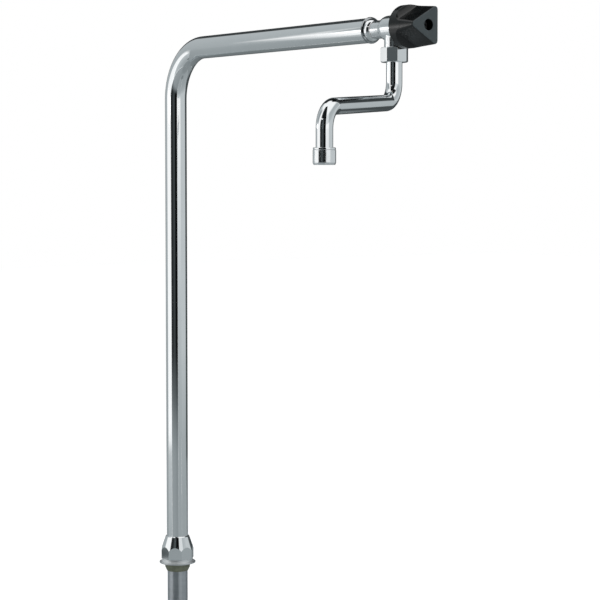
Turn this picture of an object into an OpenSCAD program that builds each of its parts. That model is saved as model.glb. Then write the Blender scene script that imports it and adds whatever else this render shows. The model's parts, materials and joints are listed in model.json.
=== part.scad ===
// Deck-mounted filling column: a bent chrome tube that turns in a gland nut on the deck,
// an angle valve with a three-sided knob on the end of its arm, and an S-shaped spout
// with an aerator that turns under the valve.
// Frame: the deck's top face is z = 0, the column stands on the Z axis, the arm runs along +X.

/* [Column] */
// Height of the arm's axis above the deck
arm_height = 670; // [420:5:900]
// Distance from the column's axis to the axis that the spout turns on
arm_reach = 440; // [300:5:700]
// Outside diameter of the column's tube
column_d = 28; // [25:0.5:31]
// Wall of the column's tube
column_wall = 1.5; // [1:0.1:2]
// Radius of the column's bend, measured to the tube's centre line
bend_r = 64; // [45:1:100]

/* [Deck fitting] */
// Outside diameter of the shank's pipe thread
shank_d = 26.4; // [24:0.2:30]
// Thickness of deck that the washers and the lock nut are set for
deck_grip = 58; // [15:1:60]
// Pitch of the shank's thread
thread_pitch = 1.8; // [1:0.1:2.5]
// Depth of the shank's thread
thread_depth = 0.9; // [0.4:0.1:1.2]
// Length of thread below the lock nut
thread_spare = 4; // [2:1:20]
// Outside diameter of the tail that the supply hose screws on
tail_d = 20.8; // [19:0.2:22]
// Length of the tail
tail_len = 14; // [8:1:25]
// Bore of the tail
tail_bore = 15; // [10:0.5:16]
// Thickness of the flange's rim
flange_rim = 1.7; // [1:0.1:3]
// Height of the flange from the deck to the nut's foot
flange_h = 5.5; // [4:0.5:8]
// How far the flange's rim stands out past the nut's corners
flange_lip = 2; // [1:0.25:5]
// Radial width of the rubber seal under the flange
seal_w = 3.6; // [2:0.1:4.5]
// Height of the seal's straight part
seal_h = 5.5; // [2:0.5:8]
// Height of the seal's tapered foot
seal_foot = 4.9; // [2:0.1:8]
// Width of the seal's foot at its lower end
seal_foot_w = 0.7; // [0.5:0.1:1.5]
// Depth of the seat that holds the seal in the flange's underside
seal_seat = 0.5; // [0.2:0.1:1]
// Outside diameter of the washers under the deck
washer_d = 46; // [42:1:60]
// Thickness of the rubber washer under the deck
rubber_t = 3; // [1:0.5:5]
// Thickness of the steel washer under the deck
steel_t = 2; // [1:0.5:4]
// Size of the lock nut across its flats
lock_nut_af = 36; // [34:1:46]
// Height of the lock nut
lock_nut_h = 8; // [5:0.5:14]

/* [Column swivel] */
// How far the shank reaches up into the flange
shank_entry = 8.5; // [7:0.5:10]
// Height of the spigot that stands up inside the column
spigot_h = 21.5; // [18:0.5:30]
// Wall of the spigot behind its seal grooves
spigot_wall = 2.1; // [1.2:0.1:3]
// Height of the threaded cup above the nut's foot
cup_h = 7.5; // [6:0.5:12]
// Width of the collar brazed round the column's foot
collar_w = 3.4; // [2.5:0.1:5]
// Height of that collar
collar_h = 3; // [2:0.5:6]
// Thickness of the plastic slide rings
slide_t = 0.5; // [0.3:0.1:1.5]
// Space between the collar's edge and the nut
collar_space = 0.6; // [0.3:0.1:1.5]
// Wall of the swivel nut outside its thread, at the middle of a flat
nut_wall = 2; // [1.5:0.1:4]
// Height of the swivel nut
nut_h = 30.5; // [24:0.5:40]
// Height of the nut's full corners, below its cone
nut_flat_h = 12; // [8:0.5:13]
// Wall of the swivel nut at its rim
nut_rim_wall = 1.6; // [1.2:0.1:3]
// Turn of the swivel nut's flats about the column
nut_turn = 2.5; // [-22.5:0.5:22.5]

/* [Seals] */
// Section diameter of the O-rings
o_ring_d = 1.3; // [1:0.1:1.6]
// Space left round an O-ring in its groove
o_ring_gap = 0.03; // [0.02:0.01:0.08]

/* [Valve] */
// Distance from the arm's end to the spout's axis
valve_back = 40; // [37:0.5:60]
// Width of the ring that edges the arm's end
ferrule_w = 2; // [1.5:0.5:6]
// How far that ring stands out from the tube
ferrule_step = 1; // [0.8:0.1:3]
// How far that ring reaches past the tube's end
ferrule_lip = 2; // [1.2:0.1:2.5]
// Radius of the domed cap on the arm's end
dome_r = 12.9; // [12.7:0.1:13.6]
// Length of the cap's plug inside the arm
plug_len = 10; // [6:1:20]
// Radius of the neck between the dome and the valve
neck_r = 10.2; // [9.5:0.1:11]
// Radius of the threaded spigot that joins the dome to the valve
nipple_r = 8.3; // [7.5:0.1:8.6]
// Length of that spigot
nipple_len = 11; // [8:1:12]
// Radius of the waterway from the arm to the seat
inlet_r = 5.5; // [4:0.5:6]
// Thickness of the fibre washers
fibre_t = 0.5; // [0.3:0.1:1]
// Radius of the valve's barrel
barrel_r = 14.2; // [13.8:0.1:17]
// Distance from the spout's axis to the barrel's front face
barrel_front = 14; // [13:0.5:18]
// Distance from the spout's axis back to where the barrel's rounded end begins
shoulder_at = 7.5; // [6:0.5:12]
// Distance from the spout's axis back to the seat's lip
seat_back = 10.5; // [9.5:0.5:11]
// Lift of the jumper from shut to fully open
valve_lift = 4; // [2:0.5:5]
// Radius of the jumper's disc
jumper_r = 8; // [7.2:0.1:8.8]
// Size of the jumper's hexagon across its flats
jumper_af = 11; // [10:0.5:11.5]
// Thickness of the jumper's rubber washer
washer_t = 3; // [2:0.5:4]
// Radius of the headwork's thread in the barrel
headwork_r = 12; // [11.5:0.1:12.5]
// Length of the headwork's thread in the barrel
headwork_len = 8; // [6:0.5:9]
// Size of the headwork's hexagon across its flats
headwork_af = 24; // [24:0.5:26]
// Thickness of the headwork's hexagon
headwork_hex_t = 2.7; // [2:0.1:3]
// Radius of the headwork's neck, inside the knob
headwork_neck_r = 8; // [7:0.1:9]
// Radius of the spindle's thread inside the jumper
screw_r = 3.5; // [3:0.1:3.8]
// Radius of the spindle in its gland
spindle_r = 4; // [4:0.1:4.6]

/* [Knob] */
// Radius of the knob's round disc
knob_r = 23.8; // [22:0.1:28]
// Length of the knob
knob_len = 40; // [36:1:50]
// Thickness of the knob's round disc
knob_disc_t = 10; // [6:0.5:12]
// Distance from the axis to the knob's flat sides, at its face
knob_flat_r = 13.3; // [12:0.1:16]
// Slope of the flat sides, in degrees
knob_slope = 8; // [4:0.5:10]
// Radius of the hollow where a flat side meets the disc
knob_hollow_r = 8; // [5:0.5:10]
// How much the three corners narrow towards the face
knob_taper = 0.8; // [0.2:0.1:2]
// Radius of the recess in the knob's face
recess_r = 6.2; // [5:0.1:7]
// Depth of that recess
recess_depth = 10; // [6:0.5:12]
// Turn of the knob when the valve is shut
knob_turn = -90; // [-180:5:180]

/* [Spout] */
// Outside diameter of the spout's tube
spout_d = 18; // [16:0.5:19]
// Wall of the spout's tube
spout_wall = 1; // [0.8:0.1:1.5]
// Horizontal distance from the axis the spout turns on to its outlet
spout_reach = 175; // [100:5:300]
// Depth of the spout's first corner below the arm's axis
spout_corner = 82; // [72:1:150]
// Fall of the spout between its two corners
spout_fall = 10.7; // [0:0.1:30]
// Radius of the spout's bends, measured to the tube's centre line
spout_bend_r = 24; // [18:0.5:30]
// Direction that the spout points in, from the arm's direction
spout_turn = -64; // [-180:1:180]
// Depth of the valve's outlet face below the arm's axis
branch_drop = 30.8; // [29:0.2:40]
// Radius of the outlet branch above its thread
branch_r = 11.3; // [11:0.1:12]
// Length of the branch's thread
branch_thread = 8.6; // [7:0.2:10]
// How far the spout's tube reaches up into the branch
spout_plug = 10.8; // [8:0.2:12]
// Width of the collar brazed round the spout's tube
spout_collar_w = 3.6; // [2.5:0.1:4]
// Wall of the union nut outside its thread, at the middle of a flat
union_wall = 1.3; // [1:0.1:3]
// Height of the union nut
union_h = 16.4; // [14:0.2:20]
// Thickness of the union nut's lip
union_lip = 3; // [2:0.5:5]
// Turn of the union nut's flats about the spout's axis
union_turn = -4.3; // [-22.5:0.1:22.5]

/* [Aerator] */
// Depth of the aerator's lower rim below the arm's axis
outlet_drop = 152; // [145:1:250]
// Height of the aerator's housing
housing_h = 15.2; // [14:0.2:20]
// Wall of the housing outside its thread
housing_wall = 1.1; // [0.8:0.1:2]
// Height of the ring that shows above the housing
ferrule_ring_h = 2.4; // [1.5:0.1:5]
// Wall of the outlet ferrule round the spout's tube
ferrule_wall = 1.9; // [1.5:0.1:3]
// Length of the ferrule's thread inside the housing
ferrule_thread = 7.4; // [6:0.2:8]
// Thickness of the aerator's seal
aerator_seal_t = 1.5; // [1:0.1:2]
// Thickness of the aerator's screen
screen_t = 0.5; // [0.3:0.1:1]
// Width of the insert's square holes
cell_w = 1.6; // [1.2:0.1:2.4]
// Width of the ribs between those holes
cell_rib = 0.6; // [0.4:0.1:1]

/* [Fits] */
// Radial clearance of the turning and sliding fits
fit = 0.06; // [0.03:0.01:0.1]
// Radial clearance of threads and brazed joints
joint = 0.05; // [0.02:0.01:0.08]

/* [Hidden] */
$fn = 96;
eps = 0.01;
flats = 8;
corner = 1 / cos(180 / flats);
corner_spare = 0.5;

// Column and swivel
column_r = column_d / 2;
column_bore_r = column_r - column_wall;
shank_r = shank_d / 2;
spigot_r = column_bore_r - fit;
o_ring_r = o_ring_d / 2;
groove_depth = o_ring_d + 2 * o_ring_gap;
groove_w = groove_depth * 1.1;
shank_groove_r = column_bore_r - groove_depth;
waterway_r = shank_groove_r - spigot_wall;
column_foot_z = shank_entry + slide_t;
cup_top_z = flange_h + cup_h;
collar_z = cup_top_z + slide_t;
collar_r = column_r + collar_w;
nut_shoulder_z = collar_z + collar_h + slide_t;
cavity_r = collar_r + collar_space;
nut_flat_r = cavity_r + nut_wall;
nut_corner_r = nut_flat_r * corner;
nut_top_z = flange_h + nut_h;
nut_cone_z = flange_h + nut_flat_h;
nut_rim_r = column_r + nut_rim_wall;
nut_bevel = nut_rim_wall * 0.6;
nut_cone_slope = (nut_corner_r - nut_rim_r) / (nut_h - nut_bevel - nut_flat_h);
flange_r = nut_corner_r + flange_lip;
seal_r = shank_r + seal_w;
seal_gap = 0.3;
wiper_z = nut_top_z - 3 * o_ring_d;
shank_end_z = -(deck_grip + rubber_t + steel_t + lock_nut_h + thread_spare);
tail_end_z = shank_end_z - tail_len;
tail_bevel = 1;
thread_turns = floor((lock_nut_h + steel_t + rubber_t + thread_spare) / thread_pitch);
thread_top_z = shank_end_z + thread_turns * thread_pitch;

// Arm and valve, measured along the arm from the axis that the spout turns on
arm_end = -valve_back;
dome_depth = sqrt(dome_r * dome_r - neck_r * neck_r);
neck_face = arm_end + dome_depth + fibre_t;
inlet_face = neck_face + fibre_t;
nipple_tip = neck_face + nipple_len;
nipple_end_gap = 1;
seat_t = 3;
seat_lip_h = 1;
seat_r = 9.4;
seat_lip_w = 1.5;
chamber_back = -seat_back - seat_lip_h - seat_t;
chamber_r = seat_r + joint;
washer_face = -seat_back + joint;
disc_back = washer_face + washer_t;
disc_t = 2;
stem_back = disc_back + disc_t;
headwork_back = barrel_front - headwork_len;
stem_front = headwork_back + valve_lift;
hex_back = barrel_front + fibre_t;
hex_front = hex_back + headwork_hex_t;
spindle_room = 5.5;
gland_back = stem_front + valve_lift + spindle_room;
gland_len = 8.5;
gland_front = gland_back + gland_len;
spindle_collar_t = 2.6;
spindle_collar_r = jumper_af / 2 - 2 * fit;
collar_front = gland_back - slide_t - fit;
screw_depth = 5.3;
screw_gap = 0.7;
screw_tip = headwork_back - screw_depth;
screw_bottom = screw_tip - valve_lift - screw_gap;
stud_r = 2;
jumper_nut_af = 6;
jumper_nut_t = 2.4;
stud_spare = 0.6;
stud_tip = washer_face - jumper_nut_t - stud_spare;
clip_t = 0.8;
clip_gap = 0.3;
clip_depth = 0.6;
clip_w = 1.6;
clip_back = gland_front + clip_gap;
spline_gap = 0.9;
spline_back = clip_back + clip_t + spline_gap;
knob_gap = 0.4;
knob_back = hex_front + knob_gap;
knob_face = knob_back + knob_len;
recess_floor = knob_face - recess_depth;
hub_wall = 3.5;
spindle_tip_gap = 0.3;
spindle_tip = recess_floor - hub_wall - spindle_tip_gap;
spline_r = spindle_r - 0.1;
knob_cavity_gap = 1.5;
knob_cavity_r = headwork_neck_r + knob_cavity_gap;
screw_shank_r = 2;
screw_head_r = 3.5;
screw_head_t = 3;
screw_len = 12;
screw_key_af = 3;
screw_key_depth = 1.6;

// Spout, measured down from the arm's axis
spout_r = spout_d / 2;
spout_bore_r = spout_r - spout_wall;
branch_bore_r = spout_r + fit;
tube_stop = 0.5;
outlet_r = spout_bore_r - tube_stop;
spout_collar_r = spout_r + spout_collar_w;
union_cavity_r = spout_collar_r + collar_space;
branch_thread_r = union_cavity_r - joint;
spout_collar_z = -branch_drop - slide_t;
union_seat_z = spout_collar_z - collar_h - slide_t;
union_foot_z = union_seat_z - union_lip;
union_flat_r = union_cavity_r + union_wall;
union_bevel = 1.2;
spout_top_z = -branch_drop + spout_plug;
spout_ring_rise = 4;
spout_ring_z = -branch_drop + spout_ring_rise;
spout_angle = atan(spout_fall / spout_reach);
spout_bend_angle = 90 - spout_angle;
spout_tangent = spout_bend_r * tan(spout_bend_angle / 2);
spout_run_len = spout_reach / cos(spout_angle) - 2 * spout_tangent;
second_corner = spout_corner + spout_fall;
bend_lap = 0.3;
bend_thin = 0.05;
housing_top_z = -outlet_drop + housing_h;
housing_gap = 0.2;
ferrule_step_z = housing_top_z + housing_gap;
ferrule_top_z = ferrule_step_z + ferrule_ring_h;
ferrule_end_z = ferrule_step_z - ferrule_thread;
ferrule_thread_r = spout_r + ferrule_wall;
ferrule_ring_r = ferrule_thread_r + housing_wall - housing_gap;
ferrule_floor = 2;
tube_end_z = ferrule_end_z + ferrule_floor;
housing_bore_r = ferrule_thread_r + joint;
housing_r = housing_bore_r + housing_wall;
housing_bevel = 0.8;
insert_top_z = ferrule_end_z - aerator_seal_t - screen_t;
insert_flange_t = 1.5;
insert_step = 1.6;
insert_body_r = housing_bore_r - insert_step;
insert_recess = 0.8;
insert_foot_z = -outlet_drop + insert_recess;
insert_disc_r = ferrule_thread_r - 0.1;
cells = floor((insert_body_r - 1) / (cell_w + cell_rib));

// A plain ring standing on z = 0
module ring(outer, inner, h) {
    difference() {
        cylinder(r = outer, h = h);
        translate([0, 0, -eps]) cylinder(r = inner, h = h + 2 * eps);
    }
}

// An O-ring whose middle lies on z = 0
module o_ring(middle_r) {
    rotate_extrude() translate([middle_r, 0]) circle(r = o_ring_r, $fn = 24);
}

// The space of an O-ring groove, from radius inner to radius outer, about z = 0
module groove(outer, inner) {
    translate([0, 0, -groove_w / 2]) ring(outer, inner, groove_w);
}

// A prism with an even number of flats, standing on z = 0, with a flat facing +X
module prism(across_flats, sides, h) {
    rotate([0, 0, 180 / sides]) cylinder(r = across_flats / 2 / cos(180 / sides), h = h, $fn = sides);
}

// Turns a shape that stands on Z so that it lies along the arm, with a distance from the spout's axis
module on_arm(distance = 0) {
    translate([arm_reach + distance, 0, arm_height]) rotate([0, 90, 0]) children();
}

// Places a shape on the axis that the spout turns on, with z = 0 at the arm's axis
module on_spout_axis() {
    translate([arm_reach, 0, arm_height]) children();
}

// Places a shape on the upright outlet end of the spout
module on_outlet() {
    on_spout_axis() rotate([0, 0, spout_turn]) translate([spout_reach, 0, 0]) children();
}

// A bent length of tube in the XZ plane: it starts at the origin going down and turns towards +X
module bend_down(path_r, outer, inner, angle) {
    translate([path_r, 0, 0]) rotate([90, 0, 0]) rotate([0, 0, 180])
        rotate_extrude(angle = angle) translate([path_r, 0]) difference() {
            circle(r = outer);
            circle(r = inner);
        }
}

// ---- Deck fitting ----

module threaded_shank() {
    turned = [
        [0, column_foot_z - slide_t + spigot_h],
        [spigot_r - 1, column_foot_z - slide_t + spigot_h],
        [spigot_r, column_foot_z - slide_t + spigot_h - 1],
        [spigot_r, shank_entry],
        [shank_r, shank_entry],
        for (i = [0 : thread_turns - 1]) each [
            [shank_r, thread_top_z - i * thread_pitch],
            [shank_r - thread_depth, thread_top_z - (i + 0.5) * thread_pitch],
        ],
        [shank_r, shank_end_z],
        [tail_d / 2, shank_end_z],
        [tail_d / 2, tail_end_z + tail_bevel],
        [tail_d / 2 - tail_bevel, tail_end_z],
        [0, tail_end_z],
    ];
    color("darkgray") difference() {
        rotate_extrude() polygon(turned);
        translate([0, 0, shank_end_z]) cylinder(r = waterway_r, h = spigot_h + shank_entry - shank_end_z + eps);
        translate([0, 0, tail_end_z - eps]) cylinder(d = tail_bore, h = tail_len + 2 * eps);
        for (i = [1, 2]) translate([0, 0, shank_entry + i * spigot_h / 3]) groove(spigot_r + eps, shank_groove_r);
    }
}

module deck_flange() {
    flare = flange_h - flange_rim;
    neck = nut_flat_r;
    reach = flange_r - neck;
    edge = 0.5;
    turned = [
        [0, seal_seat],
        [seal_r + seal_gap, seal_seat],
        [seal_r + seal_gap, 0],
        [flange_r - edge, 0],
        [flange_r, edge],
        [flange_r, flange_rim],
        for (a = [10 : 10 : 90]) [flange_r - reach * sin(a), flange_h - flare * cos(a)],
        [cavity_r - joint, flange_h],
        [cavity_r - joint, cup_top_z],
        [0, cup_top_z],
    ];
    color("silver") difference() {
        rotate_extrude() polygon(turned);
        translate([0, 0, -eps]) cylinder(r = shank_r + joint, h = shank_entry + 2 * eps);
        translate([0, 0, shank_entry]) cylinder(r = column_r + fit, h = cup_top_z);
    }
}

module deck_seal() {
    inner = shank_r + joint;
    turned = [
        [inner, seal_seat],
        [seal_r, seal_seat],
        [seal_r, -seal_h],
        [shank_r + seal_foot_w, -seal_h - seal_foot],
        [inner, -seal_h - seal_foot],
    ];
    color("darkolivegreen") rotate_extrude() polygon(turned);
}

module rubber_washer() {
    color("dimgray") translate([0, 0, -deck_grip - rubber_t]) ring(washer_d / 2, shank_r + joint, rubber_t);
}

module clamp_washer() {
    color("lightgray") translate([0, 0, -deck_grip - rubber_t - steel_t])
        ring(washer_d / 2, shank_r + joint, steel_t);
}

module lock_nut() {
    bevel = 1;
    nut_z = -deck_grip - rubber_t - steel_t - lock_nut_h;
    color("goldenrod") translate([0, 0, nut_z]) difference() {
        intersection() {
            prism(lock_nut_af, 6, lock_nut_h);
            bevelled_disc(lock_nut_af / 2 / cos(30), lock_nut_h, bevel);
        }
        translate([0, 0, -eps]) cylinder(r = shank_r + joint, h = lock_nut_h + 2 * eps);
    }
}

// A disc standing on z = 0 whose bevels round off the corners of a nut with corner radius r
module bevelled_disc(r, h, bevel) {
    slope = 0.6;
    outer = r + corner_spare;
    rise = (bevel + corner_spare) * slope;
    rotate_extrude() polygon([
        [0, 0],
        [r - bevel, 0],
        [outer, rise],
        [outer, h - rise],
        [r - bevel, h],
        [0, h],
    ]);
}

// ---- Column swivel ----

module shank_seal_rings() {
    color("black") for (i = [1, 2]) translate([0, 0, shank_entry + i * spigot_h / 3])
        o_ring(shank_groove_r + groove_depth / 2);
}

module lower_slide_ring() {
    color("ivory") translate([0, 0, cup_top_z]) ring(collar_r, column_r + fit, slide_t);
}

module upper_slide_ring() {
    color("ivory") translate([0, 0, nut_shoulder_z - slide_t]) ring(collar_r, column_r + fit, slide_t);
}

module wiper_ring() {
    color("black") translate([0, 0, wiper_z]) o_ring(column_r + groove_depth / 2 + o_ring_gap);
}

module swivel_nut() {
    turned = [
        [0, 0],
        [nut_corner_r + corner_spare, 0],
        [nut_corner_r + corner_spare, nut_flat_h - corner_spare / nut_cone_slope],
        [nut_rim_r, nut_h - nut_bevel],
        [nut_rim_r - nut_bevel, nut_h],
        [0, nut_h],
    ];
    color("silver") translate([0, 0, flange_h]) difference() {
        intersection() {
            rotate([0, 0, nut_turn]) prism(2 * nut_flat_r, flats, nut_h);
            rotate_extrude() polygon(turned);
        }
        translate([0, 0, -eps]) cylinder(r = cavity_r, h = nut_shoulder_z - flange_h + eps);
        cylinder(r = column_r + fit, h = nut_h + eps);
        translate([0, 0, wiper_z - flange_h]) groove(column_r + groove_depth + 2 * o_ring_gap, column_r);
    }
}

// ---- Column and arm ----

// The space inside radius r along the column, its bend and its arm, with extra length at both ends
module column_path(r, extra) {
    upright = arm_height - bend_r - column_foot_z;
    arm = arm_reach + arm_end - bend_r;
    translate([0, 0, column_foot_z - extra]) cylinder(r = r, h = upright + extra);
    translate([bend_r, 0, arm_height - bend_r]) rotate([90, 0, 0]) rotate([0, 0, 90])
        rotate_extrude(angle = 90) translate([bend_r, 0]) circle(r = r);
    translate([bend_r, 0, arm_height]) rotate([0, 90, 0]) cylinder(r = r, h = arm + extra);
}

module column_tube() {
    color("silver") difference() {
        column_path(column_r, 0);
        column_path(column_bore_r, eps);
    }
}

module tube_collar() {
    color("goldenrod") translate([0, 0, collar_z]) ring(collar_r, column_r + joint / 2, collar_h);
}

module arm_ferrule() {
    outer = column_r + ferrule_step;
    inner = column_r + joint / 2;
    hold = dome_r + joint;
    width = ferrule_w + ferrule_lip;
    edge = ferrule_step * 0.4;
    turned = [
        [inner, 0],
        [outer - edge, 0],
        [outer, edge],
        [outer, ferrule_w - edge],
        [column_r + ferrule_step * 0.2, ferrule_w + ferrule_lip * 0.4],
        [hold, width],
        [hold, ferrule_w + joint],
        [inner, ferrule_w + joint],
    ];
    color("silver") on_arm(arm_end - ferrule_w) rotate_extrude() polygon(turned);
}

module arm_nipple() {
    color("silver") difference() {
        union() {
            on_arm(arm_end - plug_len) cylinder(r = column_bore_r - joint, h = plug_len);
            on_arm(arm_end) rotate_extrude() intersection() {
                circle(r = dome_r);
                square([dome_r, dome_depth]);
            }
            on_arm(arm_end) cylinder(r = neck_r, h = dome_depth + fibre_t);
            on_arm(arm_end) cylinder(r = nipple_r, h = nipple_tip - arm_end);
        }
        on_arm(arm_end - plug_len - eps) cylinder(r = inlet_r, h = nipple_tip - arm_end + plug_len + 2 * eps);
    }
}

module inlet_washer() {
    color("sienna") on_arm(neck_face) ring(neck_r - 0.3, nipple_r + joint, fibre_t);
}

// ---- Valve ----

module valve_body() {
    neck_angle = asin(neck_r / barrel_r);
    steps = 8;
    front_bevel = 0.6;
    turned = [
        [0, inlet_face],
        [neck_r, inlet_face],
        for (i = [0 : steps])
            let (a = neck_angle + (90 - neck_angle) * i / steps)
                [barrel_r * sin(a), -shoulder_at - barrel_r * cos(a)],
        [barrel_r, barrel_front - front_bevel],
        [barrel_r - front_bevel, barrel_front],
        [0, barrel_front],
    ];
    step_z = -branch_drop + branch_thread;
    color("silver") difference() {
        union() {
            on_arm() rotate_extrude() polygon(turned);
            on_spout_axis() translate([0, 0, -branch_drop]) cylinder(r = branch_r, h = branch_drop);
            on_spout_axis() translate([0, 0, -branch_drop]) cylinder(r = branch_thread_r, h = branch_thread);
        }
        on_arm(inlet_face - eps) cylinder(r = nipple_r + joint, h = nipple_tip + nipple_end_gap - inlet_face);
        on_arm(inlet_face) cylinder(r = inlet_r + 1, h = chamber_back - inlet_face + eps);
        on_arm(chamber_back) cylinder(r = chamber_r, h = barrel_front - chamber_back);
        on_arm(headwork_back) cylinder(r = headwork_r + joint, h = headwork_len + eps);
        on_spout_axis() translate([0, 0, -branch_drop]) cylinder(r = outlet_r, h = branch_drop);
        on_spout_axis() translate([0, 0, -branch_drop - eps]) cylinder(r = branch_bore_r, h = spout_plug + 0.5);
        on_spout_axis() translate([0, 0, spout_ring_z])
            groove(spout_r + groove_depth + 2 * o_ring_gap, spout_r);
    }
}

module valve_seat() {
    lip_r = inlet_r + seat_lip_w;
    turned = [
        [inlet_r, 0],
        [seat_r, 0],
        [seat_r, seat_t],
        [lip_r, seat_t],
        [lip_r - 0.4, seat_t + seat_lip_h],
        [inlet_r + 0.4, seat_t + seat_lip_h],
        [inlet_r, seat_t + 0.4],
    ];
    color("lightgray") on_arm(chamber_back) rotate_extrude() polygon(turned);
}

module headwork() {
    color("goldenrod") difference() {
        union() {
            on_arm(headwork_back) cylinder(r = headwork_r, h = headwork_len + fibre_t);
            on_arm(hex_back) prism(headwork_af, 6, headwork_hex_t);
            on_arm(hex_back) cylinder(r = headwork_neck_r, h = gland_front - hex_back);
        }
        on_arm(headwork_back - eps) prism(jumper_af + 2 * fit, 6, gland_back - headwork_back + eps);
        on_arm(gland_back - eps) cylinder(r = spindle_r + fit, h = gland_len + 2 * eps);
    }
}

module headwork_washer() {
    color("sienna") on_arm(barrel_front) ring(barrel_r - 1, headwork_r + joint, fibre_t);
}

module thrust_washer() {
    color("ivory") on_arm(gland_back - slide_t) ring(spindle_collar_r, spindle_r + fit, slide_t);
}

module jumper() {
    color("goldenrod") difference() {
        union() {
            on_arm(disc_back) cylinder(r = jumper_r, h = disc_t);
            on_arm(stem_back) prism(jumper_af, 6, stem_front - stem_back);
            on_arm(stud_tip) cylinder(r = stud_r, h = disc_back - stud_tip + eps);
        }
        on_arm(screw_bottom) cylinder(r = screw_r + fit, h = stem_front - screw_bottom + eps);
    }
}

module jumper_washer() {
    color("black") on_arm(washer_face) ring(jumper_r - 0.2, stud_r + joint, washer_t);
}

module jumper_nut() {
    color("goldenrod") on_arm(washer_face - jumper_nut_t) difference() {
        prism(jumper_nut_af, 6, jumper_nut_t);
        translate([0, 0, -eps]) cylinder(r = stud_r + joint, h = jumper_nut_t + 2 * eps);
    }
}

// The splined drive between the spindle and the knob: three squares turned about one axis
module spline(r, h) {
    side = r * sqrt(2);
    linear_extrude(h) for (i = [0 : 2]) rotate([0, 0, i * 30]) square(side, center = true);
}

module spindle() {
    color("goldenrod") difference() {
        union() {
            on_arm(screw_tip) cylinder(r = screw_r, h = collar_front - screw_tip);
            on_arm(collar_front - spindle_collar_t) cylinder(r = spindle_collar_r, h = spindle_collar_t);
            on_arm(collar_front) cylinder(r = spindle_r, h = spline_back - collar_front);
            on_arm(spline_back) spline(spline_r, spindle_tip - spline_back);
        }
        for (i = [1, 2]) on_arm(gland_back + i * gland_len / 3)
            groove(spindle_r + eps, spindle_r + fit - groove_depth);
        on_arm(clip_back) ring(spindle_r + eps, spindle_r - clip_depth, clip_t);
        on_arm(recess_floor - screw_len) cylinder(r = screw_shank_r + joint, h = screw_len);
    }
}

module spindle_seal_rings() {
    color("black") for (i = [1, 2]) on_arm(gland_back + i * gland_len / 3)
        o_ring(spindle_r + fit - groove_depth / 2);
}

module spindle_clip() {
    mouth = spindle_r;
    color("dimgray") on_arm(clip_back + joint) difference() {
        ring(spindle_r + clip_w, spindle_r - clip_depth + joint, clip_t - 2 * joint);
        translate([0, -mouth / 2, -eps]) cube([2 * spindle_r, mouth, clip_t]);
    }
}

// ---- Knob ----

// The space outside one flat side of the knob, which ends in a hollow at the disc
module knob_side() {
    far = 2 * knob_r;
    fall = tan(knob_slope);
    hollow_z = knob_disc_t + knob_hollow_r;
    hollow_out = knob_flat_r + (knob_len - hollow_z) * fall + knob_hollow_r / cos(knob_slope);
    outline = [
        [far, knob_disc_t],
        for (a = [0 : 10 : 80])
            [hollow_out - knob_hollow_r * sin(a), hollow_z - knob_hollow_r * cos(a)],
        [knob_flat_r + (knob_len - hollow_z) * fall + knob_hollow_r * (1 / cos(knob_slope) - cos(knob_slope)),
            hollow_z + knob_hollow_r * sin(knob_slope)],
        [knob_flat_r - fall, knob_len + 1],
        [far, knob_len + 1],
    ];
    rotate([90, 0, 0]) linear_extrude(2 * far, center = true) polygon(outline);
}

module knob() {
    edge = 0.8;
    turned = [
        [0, 0],
        [knob_r - edge, 0],
        [knob_r, edge],
        [knob_r, knob_disc_t - edge],
        [knob_r - 0.1, knob_disc_t],
        [knob_r - knob_taper, knob_len - edge],
        [knob_r - knob_taper - edge, knob_len],
        [0, knob_len],
    ];
    cavity = spline_back + 1 - knob_back;
    hub = recess_floor - hub_wall - knob_back;
    color("darkslategray") on_arm(knob_back) difference() {
        rotate([0, 0, knob_turn]) difference() {
            rotate_extrude() polygon(turned);
            for (i = [0 : 2]) rotate([0, 0, 60 + i * 120]) knob_side();
        }
        translate([0, 0, -eps]) cylinder(r = knob_cavity_r, h = cavity + eps);
        spline(spline_r + fit, hub);
        cylinder(r = screw_shank_r + joint, h = knob_len);
        translate([0, 0, knob_len - recess_depth]) cylinder(r = recess_r, h = recess_depth + eps);
    }
}

module knob_screw() {
    color("dimgray") on_arm(recess_floor) difference() {
        union() {
            cylinder(r = screw_head_r, h = screw_head_t);
            translate([0, 0, -screw_len + 1]) cylinder(r = screw_shank_r, h = screw_len);
        }
        translate([0, 0, screw_head_t - screw_key_depth]) prism(screw_key_af, 6, screw_key_depth + eps);
    }
}

// ---- Spout ----

module union_nut() {
    color("silver") on_spout_axis() translate([0, 0, union_foot_z]) difference() {
        intersection() {
            rotate([0, 0, union_turn]) prism(2 * union_flat_r, flats, union_h);
            bevelled_disc(union_flat_r * corner, union_h, union_bevel);
        }
        translate([0, 0, union_lip]) cylinder(r = union_cavity_r, h = union_h);
        translate([0, 0, -eps]) cylinder(r = spout_r + fit, h = union_h);
    }
}

module spout_seal_ring() {
    color("black") on_spout_axis() translate([0, 0, spout_ring_z])
        o_ring(spout_r + groove_depth / 2 + o_ring_gap);
}

module spout_face_washer() {
    color("ivory") on_spout_axis() translate([0, 0, spout_collar_z])
        ring(spout_collar_r, branch_bore_r, slide_t);
}

module spout_slide_ring() {
    color("ivory") on_spout_axis() translate([0, 0, union_seat_z])
        ring(spout_collar_r, branch_bore_r, slide_t);
}

// One bend of the spout, its wall a hair thinner than the straight runs' wall, in which its ends lie
module spout_bend() {
    bend_down(spout_bend_r, spout_r - bend_thin, spout_bore_r + bend_thin, spout_bend_angle);
}

// One straight run of the spout's tube along +Z, lapped over the bends next to it
module spout_run(h, lap_foot, lap_head) {
    translate([0, 0, -lap_foot]) ring(spout_r, spout_bore_r, h + lap_foot + lap_head);
}

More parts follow.
